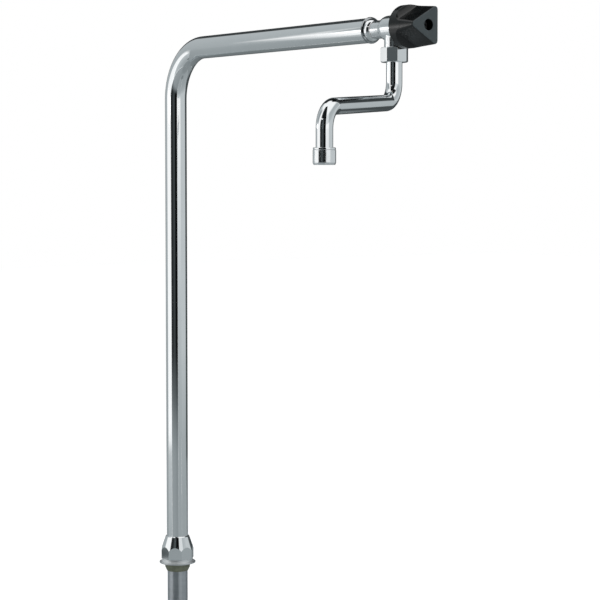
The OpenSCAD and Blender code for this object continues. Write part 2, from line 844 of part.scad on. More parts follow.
module spout_tube() {
    leg_foot = -spout_corner + spout_tangent;
    outlet_head = -second_corner - spout_tangent;
    color("silver") on_spout_axis() rotate([0, 0, spout_turn]) union() {
        translate([0, 0, leg_foot]) spout_run(spout_top_z - leg_foot, bend_lap, 0);
        translate([0, 0, leg_foot]) spout_bend();
        translate([0, 0, -spout_corner]) rotate([0, 90 + spout_angle, 0])
            translate([0, 0, spout_tangent]) spout_run(spout_run_len, bend_lap, bend_lap);
        translate([spout_reach, 0, outlet_head]) rotate([0, 180, 0]) spout_bend();
        translate([spout_reach, 0, tube_end_z]) spout_run(outlet_head - tube_end_z, 0, bend_lap);
    }
}

module spout_collar() {
    color("goldenrod") on_spout_axis() translate([0, 0, spout_collar_z - collar_h])
        ring(spout_collar_r, spout_r + joint / 2, collar_h);
}

// ---- Aerator ----

module outlet_ferrule() {
    bevel = 0.6;
    turned = [
        [0, ferrule_end_z],
        [ferrule_thread_r, ferrule_end_z],
        [ferrule_thread_r, ferrule_step_z],
        [ferrule_ring_r, ferrule_step_z],
        [ferrule_ring_r, ferrule_top_z - bevel],
        [ferrule_ring_r - bevel, ferrule_top_z],
        [0, ferrule_top_z],
    ];
    color("silver") on_outlet() difference() {
        rotate_extrude() polygon(turned);
        translate([0, 0, tube_end_z]) cylinder(r = spout_r + joint / 2, h = ferrule_top_z - tube_end_z + eps);
        translate([0, 0, ferrule_end_z - eps]) cylinder(r = spout_bore_r, h = ferrule_thread);
    }
}

module aerator_seal() {
    color("black") on_outlet() translate([0, 0, ferrule_end_z - aerator_seal_t])
        ring(insert_disc_r, spout_bore_r, aerator_seal_t);
}

// A square grid of through holes that stay inside radius limit
module cell_grid(limit, h) {
    pitch = cell_w + cell_rib;
    for (i = [-cells : cells]) for (j = [-cells : cells])
        if (norm([(abs(i) + 0.5) * pitch, (abs(j) + 0.5) * pitch]) < limit)
            translate([i * pitch, j * pitch, h / 2]) cube([cell_w, cell_w, h + 2 * eps], center = true);
}

module aerator_screen() {
    color("lightgray") on_outlet() translate([0, 0, insert_top_z]) difference() {
        cylinder(r = insert_disc_r, h = screen_t);
        cell_grid(spout_bore_r, screen_t);
    }
}

module aerator_insert() {
    color("whitesmoke") on_outlet() difference() {
        union() {
            translate([0, 0, insert_foot_z]) cylinder(r = insert_body_r, h = insert_top_z - insert_foot_z);
            translate([0, 0, insert_top_z - insert_flange_t])
                cylinder(r = insert_disc_r, h = insert_flange_t);
        }
        translate([0, 0, insert_foot_z]) cell_grid(insert_body_r, insert_top_z - insert_foot_z);
    }
}

module aerator_housing() {
    lip_top = insert_top_z - insert_flange_t;
    turned = [
        [0, -outlet_drop],
        [housing_r - housing_bevel, -outlet_drop],
        [housing_r, -outlet_drop + housing_bevel],
        [housing_r, housing_top_z - housing_bevel],
        [housing_r - housing_bevel / 2, housing_top_z],
        [0, housing_top_z],
    ];
    color("silver") on_outlet() difference() {
        rotate_extrude() polygon(turned);
        translate([0, 0, lip_top]) cylinder(r = housing_bore_r, h = housing_h);
        translate([0, 0, -outlet_drop - eps]) cylinder(r = insert_body_r + joint, h = housing_h);
    }
}

threaded_shank();
deck_flange();
deck_seal();
rubber_washer();
clamp_washer();
lock_nut();
shank_seal_rings();
lower_slide_ring();
upper_slide_ring();
wiper_ring();
swivel_nut();
column_tube();
tube_collar();
arm_ferrule();
arm_nipple();
inlet_washer();
valve_body();
valve_seat();
headwork();
headwork_washer();
thrust_washer();
jumper();
jumper_washer();
jumper_nut();
spindle();
spindle_seal_rings();
spindle_clip();
knob();
knob_screw();
union_nut();
spout_seal_ring();
spout_face_washer();
spout_slide_ring();
spout_tube();
spout_collar();
outlet_ferrule();
aerator_seal();
aerator_screen();
aerator_insert();
aerator_housing();
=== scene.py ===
import json
import math

import bmesh
import bpy
import numpy as np
from mathutils import Matrix, Vector


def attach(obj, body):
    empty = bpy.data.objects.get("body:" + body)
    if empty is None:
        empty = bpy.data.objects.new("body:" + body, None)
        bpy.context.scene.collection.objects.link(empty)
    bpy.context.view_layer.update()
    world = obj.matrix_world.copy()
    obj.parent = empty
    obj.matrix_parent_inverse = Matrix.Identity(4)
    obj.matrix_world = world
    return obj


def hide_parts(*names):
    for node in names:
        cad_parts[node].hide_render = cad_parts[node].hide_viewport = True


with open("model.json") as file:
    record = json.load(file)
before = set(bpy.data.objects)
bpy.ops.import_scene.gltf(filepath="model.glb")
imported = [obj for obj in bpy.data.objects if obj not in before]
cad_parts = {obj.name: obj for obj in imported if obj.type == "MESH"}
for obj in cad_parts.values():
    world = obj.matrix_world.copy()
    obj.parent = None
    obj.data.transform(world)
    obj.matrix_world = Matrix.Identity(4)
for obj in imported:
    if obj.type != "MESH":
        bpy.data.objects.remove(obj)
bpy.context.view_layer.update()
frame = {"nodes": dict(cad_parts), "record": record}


# ---- Threaded shank ----
# The shank is turned from one bar: a spigot for the column, a plain pipe wall through the deck, a cut thread
# for the lock nut and a thinner threaded tail for the supply hose. It is left as turned, without plating.

MM = 0.001  # sizes are in mm, and heights count from the deck's top
COLUMNS = 144  # steps round a turned piece
SHANK_R, SHANK_TOP, SHANK_END = 13.2, 8.5, -75.0
SPIGOT_R, SPIGOT_TOP = 12.44, 30.0
TAIL_R, TAIL_END, TAIL_BORE_R, WATERWAY_R = 10.4, -89.0, 7.5, 9.04
RING_GROOVE_R, RING_GROOVE_H = 11.14, 1.5
THREAD_PITCH, THREAD_DEPTH, THREAD_TOP, THREAD_END = 1.8, 0.85, -58.8, SHANK_END + 0.6
SHANK_EDGE, LEAD_IN_W, LEAD_IN_H = 0.4, 0.8, 1.0


def softened(outline, steps=5, guard=0.15):
    """Points (r, z) of a closed outline in mm. A corner given as (r, z, radius) becomes an arc, with a guard
    point on each side that keeps the face beside it flat."""
    most_of_side, guard_of_side = 0.4, 0.08
    points = []
    for i, (r, z, *corner) in enumerate(outline):
        here = np.array((r, z), float)
        if not corner:
            points.append(here)
            continue
        back = np.array(outline[i - 1][:2], float) - here
        on = np.array(outline[(i + 1) % len(outline)][:2], float) - here
        back_len, on_len = np.linalg.norm(back), np.linalg.norm(on)
        back, on = back / back_len, on / on_len
        half = math.acos(float(np.clip(back @ on, -1, 1))) / 2
        reach = min(corner[0] / math.tan(half), most_of_side * back_len, most_of_side * on_len)
        radius = reach * math.tan(half)
        centre = here + (back + on) / np.linalg.norm(back + on) * radius / math.sin(half)
        first, last = here + back * reach - centre, here + on * reach - centre
        turn = math.pi - 2 * half
        points.append(here + back * (reach + min(guard, guard_of_side * back_len)))
        for k in range(steps + 1):
            share = k / steps
            arc = (math.sin((1 - share) * turn) * first + math.sin(share * turn) * last) / math.sin(turn)
            points.append(centre + arc)
        points.append(here + on * (reach + min(guard, guard_of_side * on_len)))
    return points


def tidied(mesh, reach=1e-6):
    """Merges points that fall together and drops what is left of faces without area."""
    work = bmesh.new()
    work.from_mesh(mesh)
    bmesh.ops.remove_doubles(work, verts=work.verts, dist=reach)
    bmesh.ops.dissolve_degenerate(work, edges=work.edges, dist=reach)
    bmesh.ops.delete(work, geom=[e for e in work.edges if not e.link_faces], context="EDGES")
    work.to_mesh(mesh)
    work.free()


def made(name, points, faces, place=None):
    """One clean mesh object from points in mm, with smooth faces that look outwards."""
    mesh = bpy.data.meshes.new(name)
    mesh.from_pydata([tuple(MM * c for c in p) for p in points], [], faces)
    tidied(mesh, 2e-7)
    work = bmesh.new()
    work.from_mesh(mesh)
    bmesh.ops.recalc_face_normals(work, faces=work.faces)
    for face in work.faces:
        face.smooth = True
    work.to_mesh(mesh)
    work.free()
    if place is not None:
        mesh.transform(place)
    piece = bpy.data.objects.new(name, mesh)
    bpy.context.scene.collection.objects.link(piece)
    return piece


def turned(name, outline, place=None, angles=None):
    """A piece whose closed outline goes round the Z axis. outline is a list, or a function of the angle."""
    angles = [2 * math.pi * k / COLUMNS for k in range(COLUMNS)] if angles is None else angles
    strips = [outline(a) if callable(outline) else outline for a in angles]
    rows = len(strips[0])
    points = [(r * math.cos(a), r * math.sin(a), z) for a, strip in zip(angles, strips) for r, z in strip]
    faces = []
    for i in range(len(angles)):
        near, far = i * rows, (i + 1) % len(angles) * rows
        for j in range(rows):
            k = (j + 1) % rows
            faces.append((near + j, near + k, far + k, far + j))
    return made(name, points, faces, place)


def cut_thread(angle, major, top, foot, step=0.15):
    """Points down a helical thread at an angle. It has flat crests and roots, and runs out at both ends."""
    run_out_foot = 0.6
    rows = []
    count = int((top - foot) / step)
    for k in range(count + 1):
        z = top + (foot - top) * k / count
        wave = abs(2 * ((z / THREAD_PITCH - angle / (2 * math.pi)) % 1) - 1)
        wave = min(1, max(0, 1.5 * wave - 0.25))
        fade = min(1, (top - z) / THREAD_PITCH, (z - foot) / (run_out_foot * THREAD_PITCH))
        rows.append((major - THREAD_DEPTH * wave * max(0, fade), z))
    return rows


def shank_outline(angle):
    """The shank's outline at an angle: down its outside from the spigot's top, and up through its bore."""
    grooves = []
    for share in (2 / 3, 1 / 3):
        z = SHANK_TOP + (SPIGOT_TOP - SHANK_TOP) * share
        high, low = z + RING_GROOVE_H / 2, z - RING_GROOVE_H / 2
        grooves += [(SPIGOT_R, high), (RING_GROOVE_R, high), (RING_GROOVE_R, low), (SPIGOT_R, low)]
    lead_in = [(SPIGOT_R - LEAD_IN_W, SPIGOT_TOP), (SPIGOT_R, SPIGOT_TOP - LEAD_IN_H)]
    shoulder = [(SPIGOT_R, SHANK_TOP + 0.3), (SPIGOT_R, SHANK_TOP), (SHANK_R - SHANK_EDGE, SHANK_TOP),
                (SHANK_R, SHANK_TOP - SHANK_EDGE)]
    upper = softened(lead_in + grooves + shoulder)
    plain = [(SHANK_R, z) for z in np.linspace(SHANK_TOP - 1, THREAD_TOP + 0.2, 24)]
    thread = cut_thread(angle, SHANK_R, THREAD_TOP, THREAD_END)
    tail = cut_thread(angle, TAIL_R, SHANK_END - SHANK_EDGE, TAIL_END + LEAD_IN_H)
    foot = [(SHANK_R - LEAD_IN_W, SHANK_END), (TAIL_R, SHANK_END)]
    lip = [(TAIL_R - LEAD_IN_H, TAIL_END), (TAIL_BORE_R + SHANK_EDGE, TAIL_END),
           (TAIL_BORE_R, TAIL_END + SHANK_EDGE)]
    bore = [(TAIL_BORE_R, SHANK_END), (WATERWAY_R, SHANK_END + 0.01), (WATERWAY_R, SPIGOT_TOP)]
    return upper + plain + thread + foot + tail + lip + bore


def surface(name, tone, metallic, rough, blotch=0.04, grain=900.0, bump=0.02, stretch=(1, 1, 1),
            rough_swing=0.03, speck=0.0, specular=0.5):
    """A procedural finish: faint blotches in the colour, an uneven roughness and a fine grain in relief."""
    blotches_per_m, dull_patches_per_m, speck_shade = 45, 70, 0.45
    coat = bpy.data.materials.new(name)
    coat.use_nodes = True
    nodes, links = coat.node_tree.nodes, coat.node_tree.links
    shader = nodes["Principled BSDF"]
    shader.inputs["Metallic"].default_value = metallic
    shader.inputs["Specular IOR Level"].default_value = specular
    where = nodes.new("ShaderNodeTexCoord")
    spread = nodes.new("ShaderNodeMapping")
    spread.inputs["Scale"].default_value = stretch
    links.new(where.outputs["Object"], spread.inputs["Vector"])

    def noise(scale, detail, roughness):
        node = nodes.new("ShaderNodeTexNoise")
        node.inputs["Scale"].default_value = scale
        node.inputs["Detail"].default_value = detail
        node.inputs["Roughness"].default_value = roughness
        links.new(spread.outputs["Vector"], node.inputs["Vector"])
        return node.outputs["Fac"]

    def ranged(source, low, high, from_low=0.3, from_high=0.7):
        node = nodes.new("ShaderNodeMapRange")
        node.inputs["From Min"].default_value = from_low
        node.inputs["From Max"].default_value = from_high
        node.inputs["To Min"].default_value = low
        node.inputs["To Max"].default_value = high
        links.new(source, node.inputs["Value"])
        return node.outputs["Result"]

    patches = nodes.new("ShaderNodeMix")
    patches.data_type = "RGBA"
    patches.inputs["A"].default_value = (*[min(1, c * (1 - blotch)) for c in tone], 1)
    patches.inputs["B"].default_value = (*[min(1, c * (1 + blotch)) for c in tone], 1)
    links.new(ranged(noise(blotches_per_m, 3, 0.55), 0, 1), patches.inputs["Factor"])
    colour = patches.outputs["Result"]
    if speck:
        dots = nodes.new("ShaderNodeMix")
        dots.data_type = "RGBA"
        links.new(colour, dots.inputs["A"])
        dots.inputs["B"].default_value = (*[c * speck_shade for c in tone], 1)
        links.new(ranged(noise(grain * 0.7, 2, 0.5), 0, speck, 0.58, 0.72), dots.inputs["Factor"])
        colour = dots.outputs["Result"]
    links.new(colour, shader.inputs["Base Color"])
    dull = ranged(noise(dull_patches_per_m, 4, 0.6), max(0, rough - rough_swing), rough + rough_swing)
    links.new(dull, shader.inputs["Roughness"])
    relief = nodes.new("ShaderNodeBump")
    relief.inputs["Strength"].default_value = bump
    relief.inputs["Distance"].default_value = 0.5 * MM
    links.new(noise(grain, 2, 0.5), relief.inputs["Height"])
    links.new(relief.outputs["Normal"], shader.inputs["Normal"])
    return coat


def dressed(piece, coat, body, slot, *stands_for):
    """Gives a piece its finish, the body it moves with and the solids it stands for."""
    piece.data.materials.clear()
    piece.data.materials.append(coat)
    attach(piece, body)
    if stands_for:
        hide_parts(*stands_for)
    return piece


turned_steel = surface("turned_steel", (0.58, 0.61, 0.64), 1.0, 0.38, blotch=0.06, grain=1400, bump=0.05,
                       stretch=(1, 1, 6), rough_swing=0.05)
nodes, links = turned_steel.node_tree.nodes, turned_steel.node_tree.links
steel_shader = nodes["Principled BSDF"]
# the lathe's marks run round the bar and stretch its highlights across them
steel_shader.inputs["Anisotropic"].default_value = 0.85
steel_shader.inputs["Anisotropic Rotation"].default_value = 0.25
lay = nodes.new("ShaderNodeTangent")
lay.direction_type = "RADIAL"
lay.axis = "Z"
links.new(lay.outputs["Tangent"], steel_shader.inputs["Tangent"])
dressed(turned("shank_turned", shank_outline), turned_steel, "deck_fitting", "bare_metal", "threaded_shank")


# ---- Lock nut and washers under the deck ----
# A rubber washer and a zinc plated steel washer lie against the deck from below.
# A hexagonal brass nut clamps them, its corners turned off on both faces.

DECK_GRIP, RUBBER_T, STEEL_T, WASHER_R = 58.0, 3.0, 2.0, 23.0
LOCK_NUT_H, LOCK_NUT_SIDES, LOCK_NUT_FLAT_R, LOCK_NUT_ROUND, SHANK_HOLE_R = 8.0, 6, 18.0, 0.4, 13.25
UNDER_DECK = -DECK_GRIP - RUBBER_T
LOCK_NUT_FOOT = UNDER_DECK - STEEL_T - LOCK_NUT_H


def facet_radius(angle, sides, flat_r, corner_round):
    """Distance from the axis to a prism's wall whose corners are rounded."""
    pitch = 2 * math.pi / sides
    off = abs((angle + pitch / 2) % pitch - pitch / 2)
    centre_out = (flat_r - corner_round) / math.cos(pitch / 2)
    touch = math.atan2((flat_r - corner_round) * math.tan(pitch / 2), flat_r)
    if off <= touch:
        return flat_r / math.cos(off)
    away = pitch / 2 - off
    return centre_out * math.cos(away) + math.sqrt(corner_round**2 - (centre_out * math.sin(away)) ** 2)


def facet_angles(sides, flat_r, corner_round, turn=0.0, across=12, round_steps=6):
    """Angles for a faceted piece, close together at its corners."""
    pitch = 2 * math.pi / sides
    touch = math.atan2((flat_r - corner_round) * math.tan(pitch / 2), flat_r)
    guard = touch * 0.985
    one = list(np.linspace(-guard, guard, across))
    one += list(np.linspace(touch, pitch - touch, round_steps))
    return [turn + side * pitch + a for side in range(sides) for a in one]


def washer(name, outer, inner, foot, height, edge):
    """A flat ring that stands on a height, with all its edges rounded alike."""
    head = foot + height
    return turned(name, softened([(inner, foot, edge), (outer, foot, edge), (outer, head, edge),
                                  (inner, head, edge)]))


def lock_nut_outline(angle):
    """The lock nut's outline at an angle: its faces fall off to the corners, and its bore is chamfered."""
    wall = facet_radius(angle, LOCK_NUT_SIDES, LOCK_NUT_FLAT_R, LOCK_NUT_ROUND)
    head = LOCK_NUT_FOOT + LOCK_NUT_H
    face_r = LOCK_NUT_FLAT_R / math.cos(math.pi / LOCK_NUT_SIDES) - 2.2
    fall = 0.25 + max(0, wall - face_r) * 0.55
    chamfer = 0.8
    return softened([
        (SHANK_HOLE_R, LOCK_NUT_FOOT + chamfer), (SHANK_HOLE_R + chamfer, LOCK_NUT_FOOT),
        (face_r, LOCK_NUT_FOOT, 0.2), (wall, LOCK_NUT_FOOT + fall, 0.3), (wall, head - fall, 0.3),
        (face_r, head, 0.2), (SHANK_HOLE_R + chamfer, head), (SHANK_HOLE_R, head - chamfer)])


black_rubber = surface("black_rubber", (0.022, 0.022, 0.023), 0.0, 0.62, blotch=0.25, grain=1600, bump=0.25,
                       rough_swing=0.08, specular=0.35)
zinc_steel = surface("zinc_steel", (0.60, 0.62, 0.63), 1.0, 0.34, blotch=0.1, grain=500, bump=0.08,
                     rough_swing=0.1)
turned_brass = surface("turned_brass", (0.72, 0.53, 0.27), 1.0, 0.28, blotch=0.14, grain=1500, bump=0.12,
                       stretch=(1, 1, 5), rough_swing=0.07)
rubber_washer = washer("rubber_washer_pressed", WASHER_R, SHANK_HOLE_R, UNDER_DECK, RUBBER_T, 0.5)
dressed(rubber_washer, black_rubber, "deck_fitting", "black_rubber", "rubber_washer")
steel_washer = washer("steel_washer_stamped", WASHER_R, SHANK_HOLE_R, UNDER_DECK - STEEL_T, STEEL_T, 0.4)
dressed(steel_washer, zinc_steel, "deck_fitting", "zinc_steel", "clamp_washer")
lock_nut = turned("lock_nut_milled", lock_nut_outline,
                  angles=facet_angles(LOCK_NUT_SIDES, LOCK_NUT_FLAT_R, LOCK_NUT_ROUND))
dressed(lock_nut, turned_brass, "deck_fitting", "brass", "lock_nut")


# ---- Deck seal and flange ----
# The seal is a moulded ring of olive rubber that centres the shank in the deck's hole.
# The flange is a thin chromed brass turning, flared to its rim, and holds the nut's cup inside.

SEAL_R, SEAL_SEAT, SEAL_STRAIGHT, SEAL_FOOT_R, SEAL_FOOT_Z = 16.8, 0.5, -5.5, 13.9, -10.4
SEAL_BEAD_Z, SEAL_STEP_Z, SEAL_STEP = -1.6, -2.6, 0.5
FLANGE_R, FLANGE_RIM, FLANGE_H, NUT_FLAT_R = 23.64, 1.7, 5.5, 20.0
CAVITY_R, CUP_TOP, CUP_BORE_R = 18.0, 13.0, 14.06
CUP_R, FLANGE_BORE_R = CAVITY_R - 0.05, SEAL_R + 0.3

olive_rubber = surface("olive_rubber", (0.150, 0.165, 0.115), 0.0, 0.42, blotch=0.3, grain=1200, bump=0.2,
                       rough_swing=0.1)
seal = turned("seal_moulded", softened([
    (SHANK_HOLE_R, SEAL_SEAT, 0.1), (SEAL_R, SEAL_SEAT, 0.2), (SEAL_R, SEAL_BEAD_Z, 0.8),
    (SEAL_R - SEAL_STEP, SEAL_STEP_Z, 0.5), (SEAL_R - SEAL_STEP, SEAL_STRAIGHT, 1.6),
    (SEAL_FOOT_R, SEAL_FOOT_Z, 0.3), (SHANK_HOLE_R, SEAL_FOOT_Z, 0.2)]))
dressed(seal, olive_rubber, "deck_fitting", "olive_rubber", "deck_seal")

chrome = surface("polished_chrome", (0.90, 0.92, 0.93), 1.0, 0.07, blotch=0.012, grain=260, bump=0.0008,
                 rough_swing=0.015)
satin_chrome = surface("satin_chrome", (0.80, 0.82, 0.83), 1.0, 0.5, blotch=0.03, grain=700, bump=0.03,
                       rough_swing=0.05)
flare = [(FLANGE_R - (FLANGE_R - NUT_FLAT_R) * math.sin(math.radians(a)),
          FLANGE_H - (FLANGE_H - FLANGE_RIM) * math.cos(math.radians(a))) for a in range(12, 91, 6)]
flange = turned("flange_flared", softened([
    (FLANGE_BORE_R, SEAL_SEAT, 0.05), (FLANGE_BORE_R, 0, 0.1), (FLANGE_R, 0, 0.5),
    (FLANGE_R, FLANGE_RIM, 0.35), *flare, (CUP_R, FLANGE_H, 0.1), (CUP_R, CUP_TOP, 0.2),
    (CUP_BORE_R, CUP_TOP, 0.2), (CUP_BORE_R, SHANK_TOP, 0.1), (SHANK_HOLE_R, SHANK_TOP, 0.1),
    (SHANK_HOLE_R, SEAL_SEAT, 0.05)]))
dressed(flange, satin_chrome, "deck_fitting", "chrome", "deck_flange")


# ---- Swivel nut ----
# An octagonal nut with a long turned cone holds the column down in its cup.
# It is chromed brass; its flats are milled before the plating, so their edges stay slightly soft.

NUT_TOP, NUT_FLAT_H, NUT_RIM_R, NUT_BEVEL, NUT_TURN = 36.0, 12.0, 15.6, 0.96, math.radians(2.5)
NUT_SIDES, NUT_ROUND, NUT_SHOULDER, NUT_FOOT_EDGE = 8, 0.45, 17.0, 0.5
NUT_CORNER_R = NUT_FLAT_R / math.cos(math.pi / NUT_SIDES)
COLUMN_HOLE_R, WIPER_Z, WIPER_H, WIPER_GROOVE_R = 14.06, 32.1, 1.5, 15.42


def swivel_nut_outline(angle):
    """The nut's outline at an angle: where the cone meets a flat, the edge rises in a shallow arch."""
    wall = facet_radius(angle - NUT_TURN, NUT_SIDES, NUT_FLAT_R, NUT_ROUND)
    slope = (NUT_CORNER_R - NUT_RIM_R) / (NUT_TOP - NUT_BEVEL - FLANGE_H - NUT_FLAT_H)
    edge_z = FLANGE_H + NUT_FLAT_H + (NUT_CORNER_R - wall) / slope
    groove_top, groove_foot = WIPER_Z + WIPER_H / 2, WIPER_Z - WIPER_H / 2
    return softened([
        (wall - NUT_FOOT_EDGE, FLANGE_H, 0.2), (wall, FLANGE_H + NUT_FOOT_EDGE, 0.3), (wall, edge_z, 0.7),
        (NUT_RIM_R, NUT_TOP - NUT_BEVEL, 0.3), (NUT_RIM_R - NUT_BEVEL, NUT_TOP, 0.3),
        (COLUMN_HOLE_R, NUT_TOP, 0.15), (COLUMN_HOLE_R, groove_top), (WIPER_GROOVE_R, groove_top),
        (WIPER_GROOVE_R, groove_foot), (COLUMN_HOLE_R, groove_foot), (COLUMN_HOLE_R, NUT_SHOULDER, 0.1),
        (CAVITY_R, NUT_SHOULDER, 0.1), (CAVITY_R, FLANGE_H, 0.1)])


swivel_nut = turned("swivel_nut_milled", swivel_nut_outline,
                    angles=facet_angles(NUT_SIDES, NUT_FLAT_R, NUT_ROUND, NUT_TURN, across=16))
dressed(swivel_nut, chrome, "deck_fitting", "chrome", "swivel_nut")


# ---- Column tube ----
# Riser, bend and arm are one thin-walled brass tube, bent cold over a mandrel, then polished and chromed.
# A brass collar brazed round its foot turns between two plastic rings under the nut.

COLUMN_R, COLUMN_BORE_R, COLUMN_FOOT, COLUMN_OVAL, COLUMN_STEP = 14.0, 12.5, 9.0, 0.006, 12.0
ARM_HEIGHT, ARM_REACH, ARM_END, BEND_R = 670.0, 440.0, 400.0, 64.0


def bent_tube(name, legs, across, outer, inner, columns=120, end_edge=0.3, oval=0.0):
    """A tube with its bore and rims, swept along stations (point, direction, share of bend) in one plane.
    The bends press it oval by a small share."""
    stations = []
    last = len(legs) - 1
    for k, (point, along, bent) in enumerate(legs):
        edge = end_edge if k in (0, last) else 0
        stations.append((point, along, outer - edge, bent))
        if k == 0:
            stations.append((point + along * end_edge, along, outer, bent))
            stations.append((point + along * 2 * end_edge, along, outer, bent))
        if k == last - 1:
            end = legs[last][0]
            stations.append((end - along * 2 * end_edge, along, outer, bent))
            stations.append((end - along * end_edge, along, outer, bent))
    stations += [(point, along, inner, bent) for point, along, bent in reversed(legs)]
    points, faces = [], []
    for point, along, radius, bent in stations:
        side = across.cross(along).normalized()
        for k in range(columns):
            a = 2 * math.pi * k / columns
            squeeze = 1 - oval * bent * math.cos(2 * a)
            points.append(point + radius * squeeze * (math.cos(a) * side + math.sin(a) * across))
    for i in range(len(stations)):
        j = (i + 1) % len(stations)
        for k in range(columns):
            m = (k + 1) % columns
            faces.append((i * columns + k, i * columns + m, j * columns + m, j * columns + k))
    return made(name, points, faces)


def straight(start, end, step, end_gap=0.6):
    """Stations of a straight leg, closer together at both of its ends."""
    length = (end - start).length
    along = (end - start) / length
    marks = [0.0, end_gap] + list(np.arange(step, length - step, step)) + [length - end_gap, length]
    return [(start + along * m, along, 0.0) for m in marks]


def bend(centre, start_arm, along, angle, step=2.0):
    """Stations of a bend. start_arm points from its centre to the leg's end, along is the leg's direction."""
    count = max(2, int(math.degrees(angle) / step))
    found = []
    for k in range(1, count):
        a = angle * k / count
        share = math.sin(math.pi * k / count)
        point = centre + start_arm * math.cos(a) + along * start_arm.length * math.sin(a)
        way = (along * math.cos(a) - start_arm.normalized() * math.sin(a)).normalized()
        found.append((point, way, share))
    return found


up = Vector((0, 0, 1))
bend_centre = Vector((BEND_R, 0, ARM_HEIGHT - BEND_R))
riser_top = Vector((0, 0, ARM_HEIGHT - BEND_R))
arm_start = Vector((BEND_R, 0, ARM_HEIGHT))
column_legs = straight(Vector((0, 0, COLUMN_FOOT)), riser_top, COLUMN_STEP)
column_legs += bend(bend_centre, riser_top - bend_centre, up, math.pi / 2)
column_legs += straight(arm_start, Vector((ARM_END, 0, ARM_HEIGHT)), COLUMN_STEP)
column = bent_tube("column_bent", column_legs, Vector((0, 1, 0)), COLUMN_R, COLUMN_BORE_R,
                   oval=COLUMN_OVAL)
dressed(column, chrome, "column", "chrome", "column_tube")


# ---- Arm end: edging ring and domed cap ----
# A rounded ring edges the arm's open end, and a domed cap closes it. The ring's chrome is given a darker tone
# than the rest, so it shows as a dark line round the arm's end.
# The cap is a chromed turning with a thin neck and a threaded spigot for the valve.

RING_BACK, RING_W, RING_R, RING_HOLD_R, RING_STEP = -42.0, 4.0, 15.0, 12.95, 2.05
RING_FIT_R = COLUMN_R + 0.025
CAP_R, NECK_R, CAP_DEPTH, FIBRE_T = 12.9, 10.2, 7.9, 0.5
SPIGOT_LEN, NIPPLE_R, INLET_R, PLUG_LEN = 11.0, 8.3, 5.5, 10.0
PLUG_R, CAP_SEAT = COLUMN_BORE_R - 0.05, CAP_DEPTH + FIBRE_T


def along_arm(distance):
    """Lays a turned piece along the arm, with its foot at a distance from the spout's axis."""
    move = Matrix.Translation(Vector((ARM_REACH + distance, 0, ARM_HEIGHT)) * MM)
    return move @ Matrix.Rotation(math.pi / 2, 4, "Y")


edging = turned("arm_ring_rolled", softened([
    (RING_FIT_R, 0.3, 0.1), (COLUMN_R + 0.6, 0.4, 0.3), (RING_R, 1.1, 0.6), (COLUMN_R + 0.3, 2.7, 0.5),
    (RING_HOLD_R, RING_W, 0.1), (RING_HOLD_R, RING_STEP, 0.1), (RING_FIT_R, RING_STEP, 0.05)]),
    along_arm(RING_BACK))
# the ring's tone is kept under half of the other chrome's, which draws a dark line round the arm's end
darker_ring_chrome = surface("darker_ring_chrome", (0.40, 0.42, 0.43), 1.0, 0.10, blotch=0.03, grain=400, bump=0.002,
                         rough_swing=0.02)
dressed(edging, darker_ring_chrome, "column", "chrome", "arm_ferrule")
dome = [(CAP_R * math.cos(a), CAP_R * math.sin(a)) for a in np.linspace(0, math.acos(NECK_R / CAP_R), 16)]
cap = turned("cap_domed", softened([
    (INLET_R, -PLUG_LEN, 0.3), (PLUG_R, -PLUG_LEN, 0.4), (PLUG_R, -0.05), (CAP_R - 0.02, -0.02), *dome,
    (NECK_R, CAP_DEPTH + 0.02), (NECK_R, CAP_SEAT, 0.15), (NIPPLE_R, CAP_SEAT, 0.1),
    (NIPPLE_R, CAP_SEAT + SPIGOT_LEN, 0.4), (INLET_R, CAP_SEAT + SPIGOT_LEN, 0.3)]),
    along_arm(ARM_END - ARM_REACH))
dressed(cap, chrome, "column", "chrome", "arm_nipple")


# ---- Valve body ----
# The valve is a brass casting: a barrel in line with the arm and an outlet branch below it, with a small
# cast fillet between them. It is bored from both ends and from below, polished and chromed.

BARREL_R, BARREL_FRONT, INLET_FACE, BARREL_END, NECK_FILLET = 14.2, 14.0, -31.1, -7.5, 2.0
BRANCH_R, BRANCH_DROP, BRANCH_THREAD_R, BRANCH_THREAD, BRANCH_FILLET = 11.3, 30.8, 13.15, 8.6, 2.2
BRANCH_CHAMFER, BRANCH_CORE_Z, FILLET_LEAD, FILLET_TAIL, FILLET_STEPS = 0.5, -6, 0.4, 1.2, 8
CHAMBER_BACK, CHAMBER_R, HEADWORK_BACK, HEADWORK_R, SOCKET_DEPTH = -14.5, 9.45, 6.0, 12.0, 11.7
SPOUT_R, SPOUT_PLUG, OUTLET_R, DRILL_OVER = 9.0, 10.8, 7.5, 1


def worked(piece, tool, how):
    """Joins a tool shape to a piece, or cuts it away, and leaves one plain mesh."""
    step = piece.modifiers.new(how, "BOOLEAN")
    step.operation = how
    step.solver = "EXACT"
    step.object = tool
    bpy.context.view_layer.update()
    result = bpy.data.meshes.new_from_object(piece.evaluated_get(bpy.context.evaluated_depsgraph_get()))
    piece.modifiers.clear()
    piece.data = result
    tidied(result)
    bpy.data.objects.remove(tool)
    return piece


def rod(outer, foot, head, place):
    """A plain solid rod, the shape that a drill takes away."""
    return turned("rod", [(0, foot), (outer, foot), (outer, head), (0, head)], place)


fillet_out = NECK_R + NECK_FILLET
fillet_back = BARREL_END - math.sqrt((BARREL_R + NECK_FILLET) ** 2 - fillet_out**2)
meet = math.atan2(BARREL_END - fillet_back, fillet_out)
neck = [(fillet_out - NECK_FILLET * math.cos(a), fillet_back + NECK_FILLET * math.sin(a))
        for a in np.linspace(0, meet, 6)]
rounded = [(BARREL_R * math.cos(a), BARREL_END - BARREL_R * math.sin(a)) for a in np.linspace(meet, 0, 20)]
barrel = turned("valve_cast", softened([
    (0, INLET_FACE), (NECK_R, INLET_FACE, 0.2), *neck, *rounded[1:], (BARREL_R, BARREL_END + 1),
    (BARREL_R, BARREL_FRONT, 0.7), (0, BARREL_FRONT)]), along_arm(0))

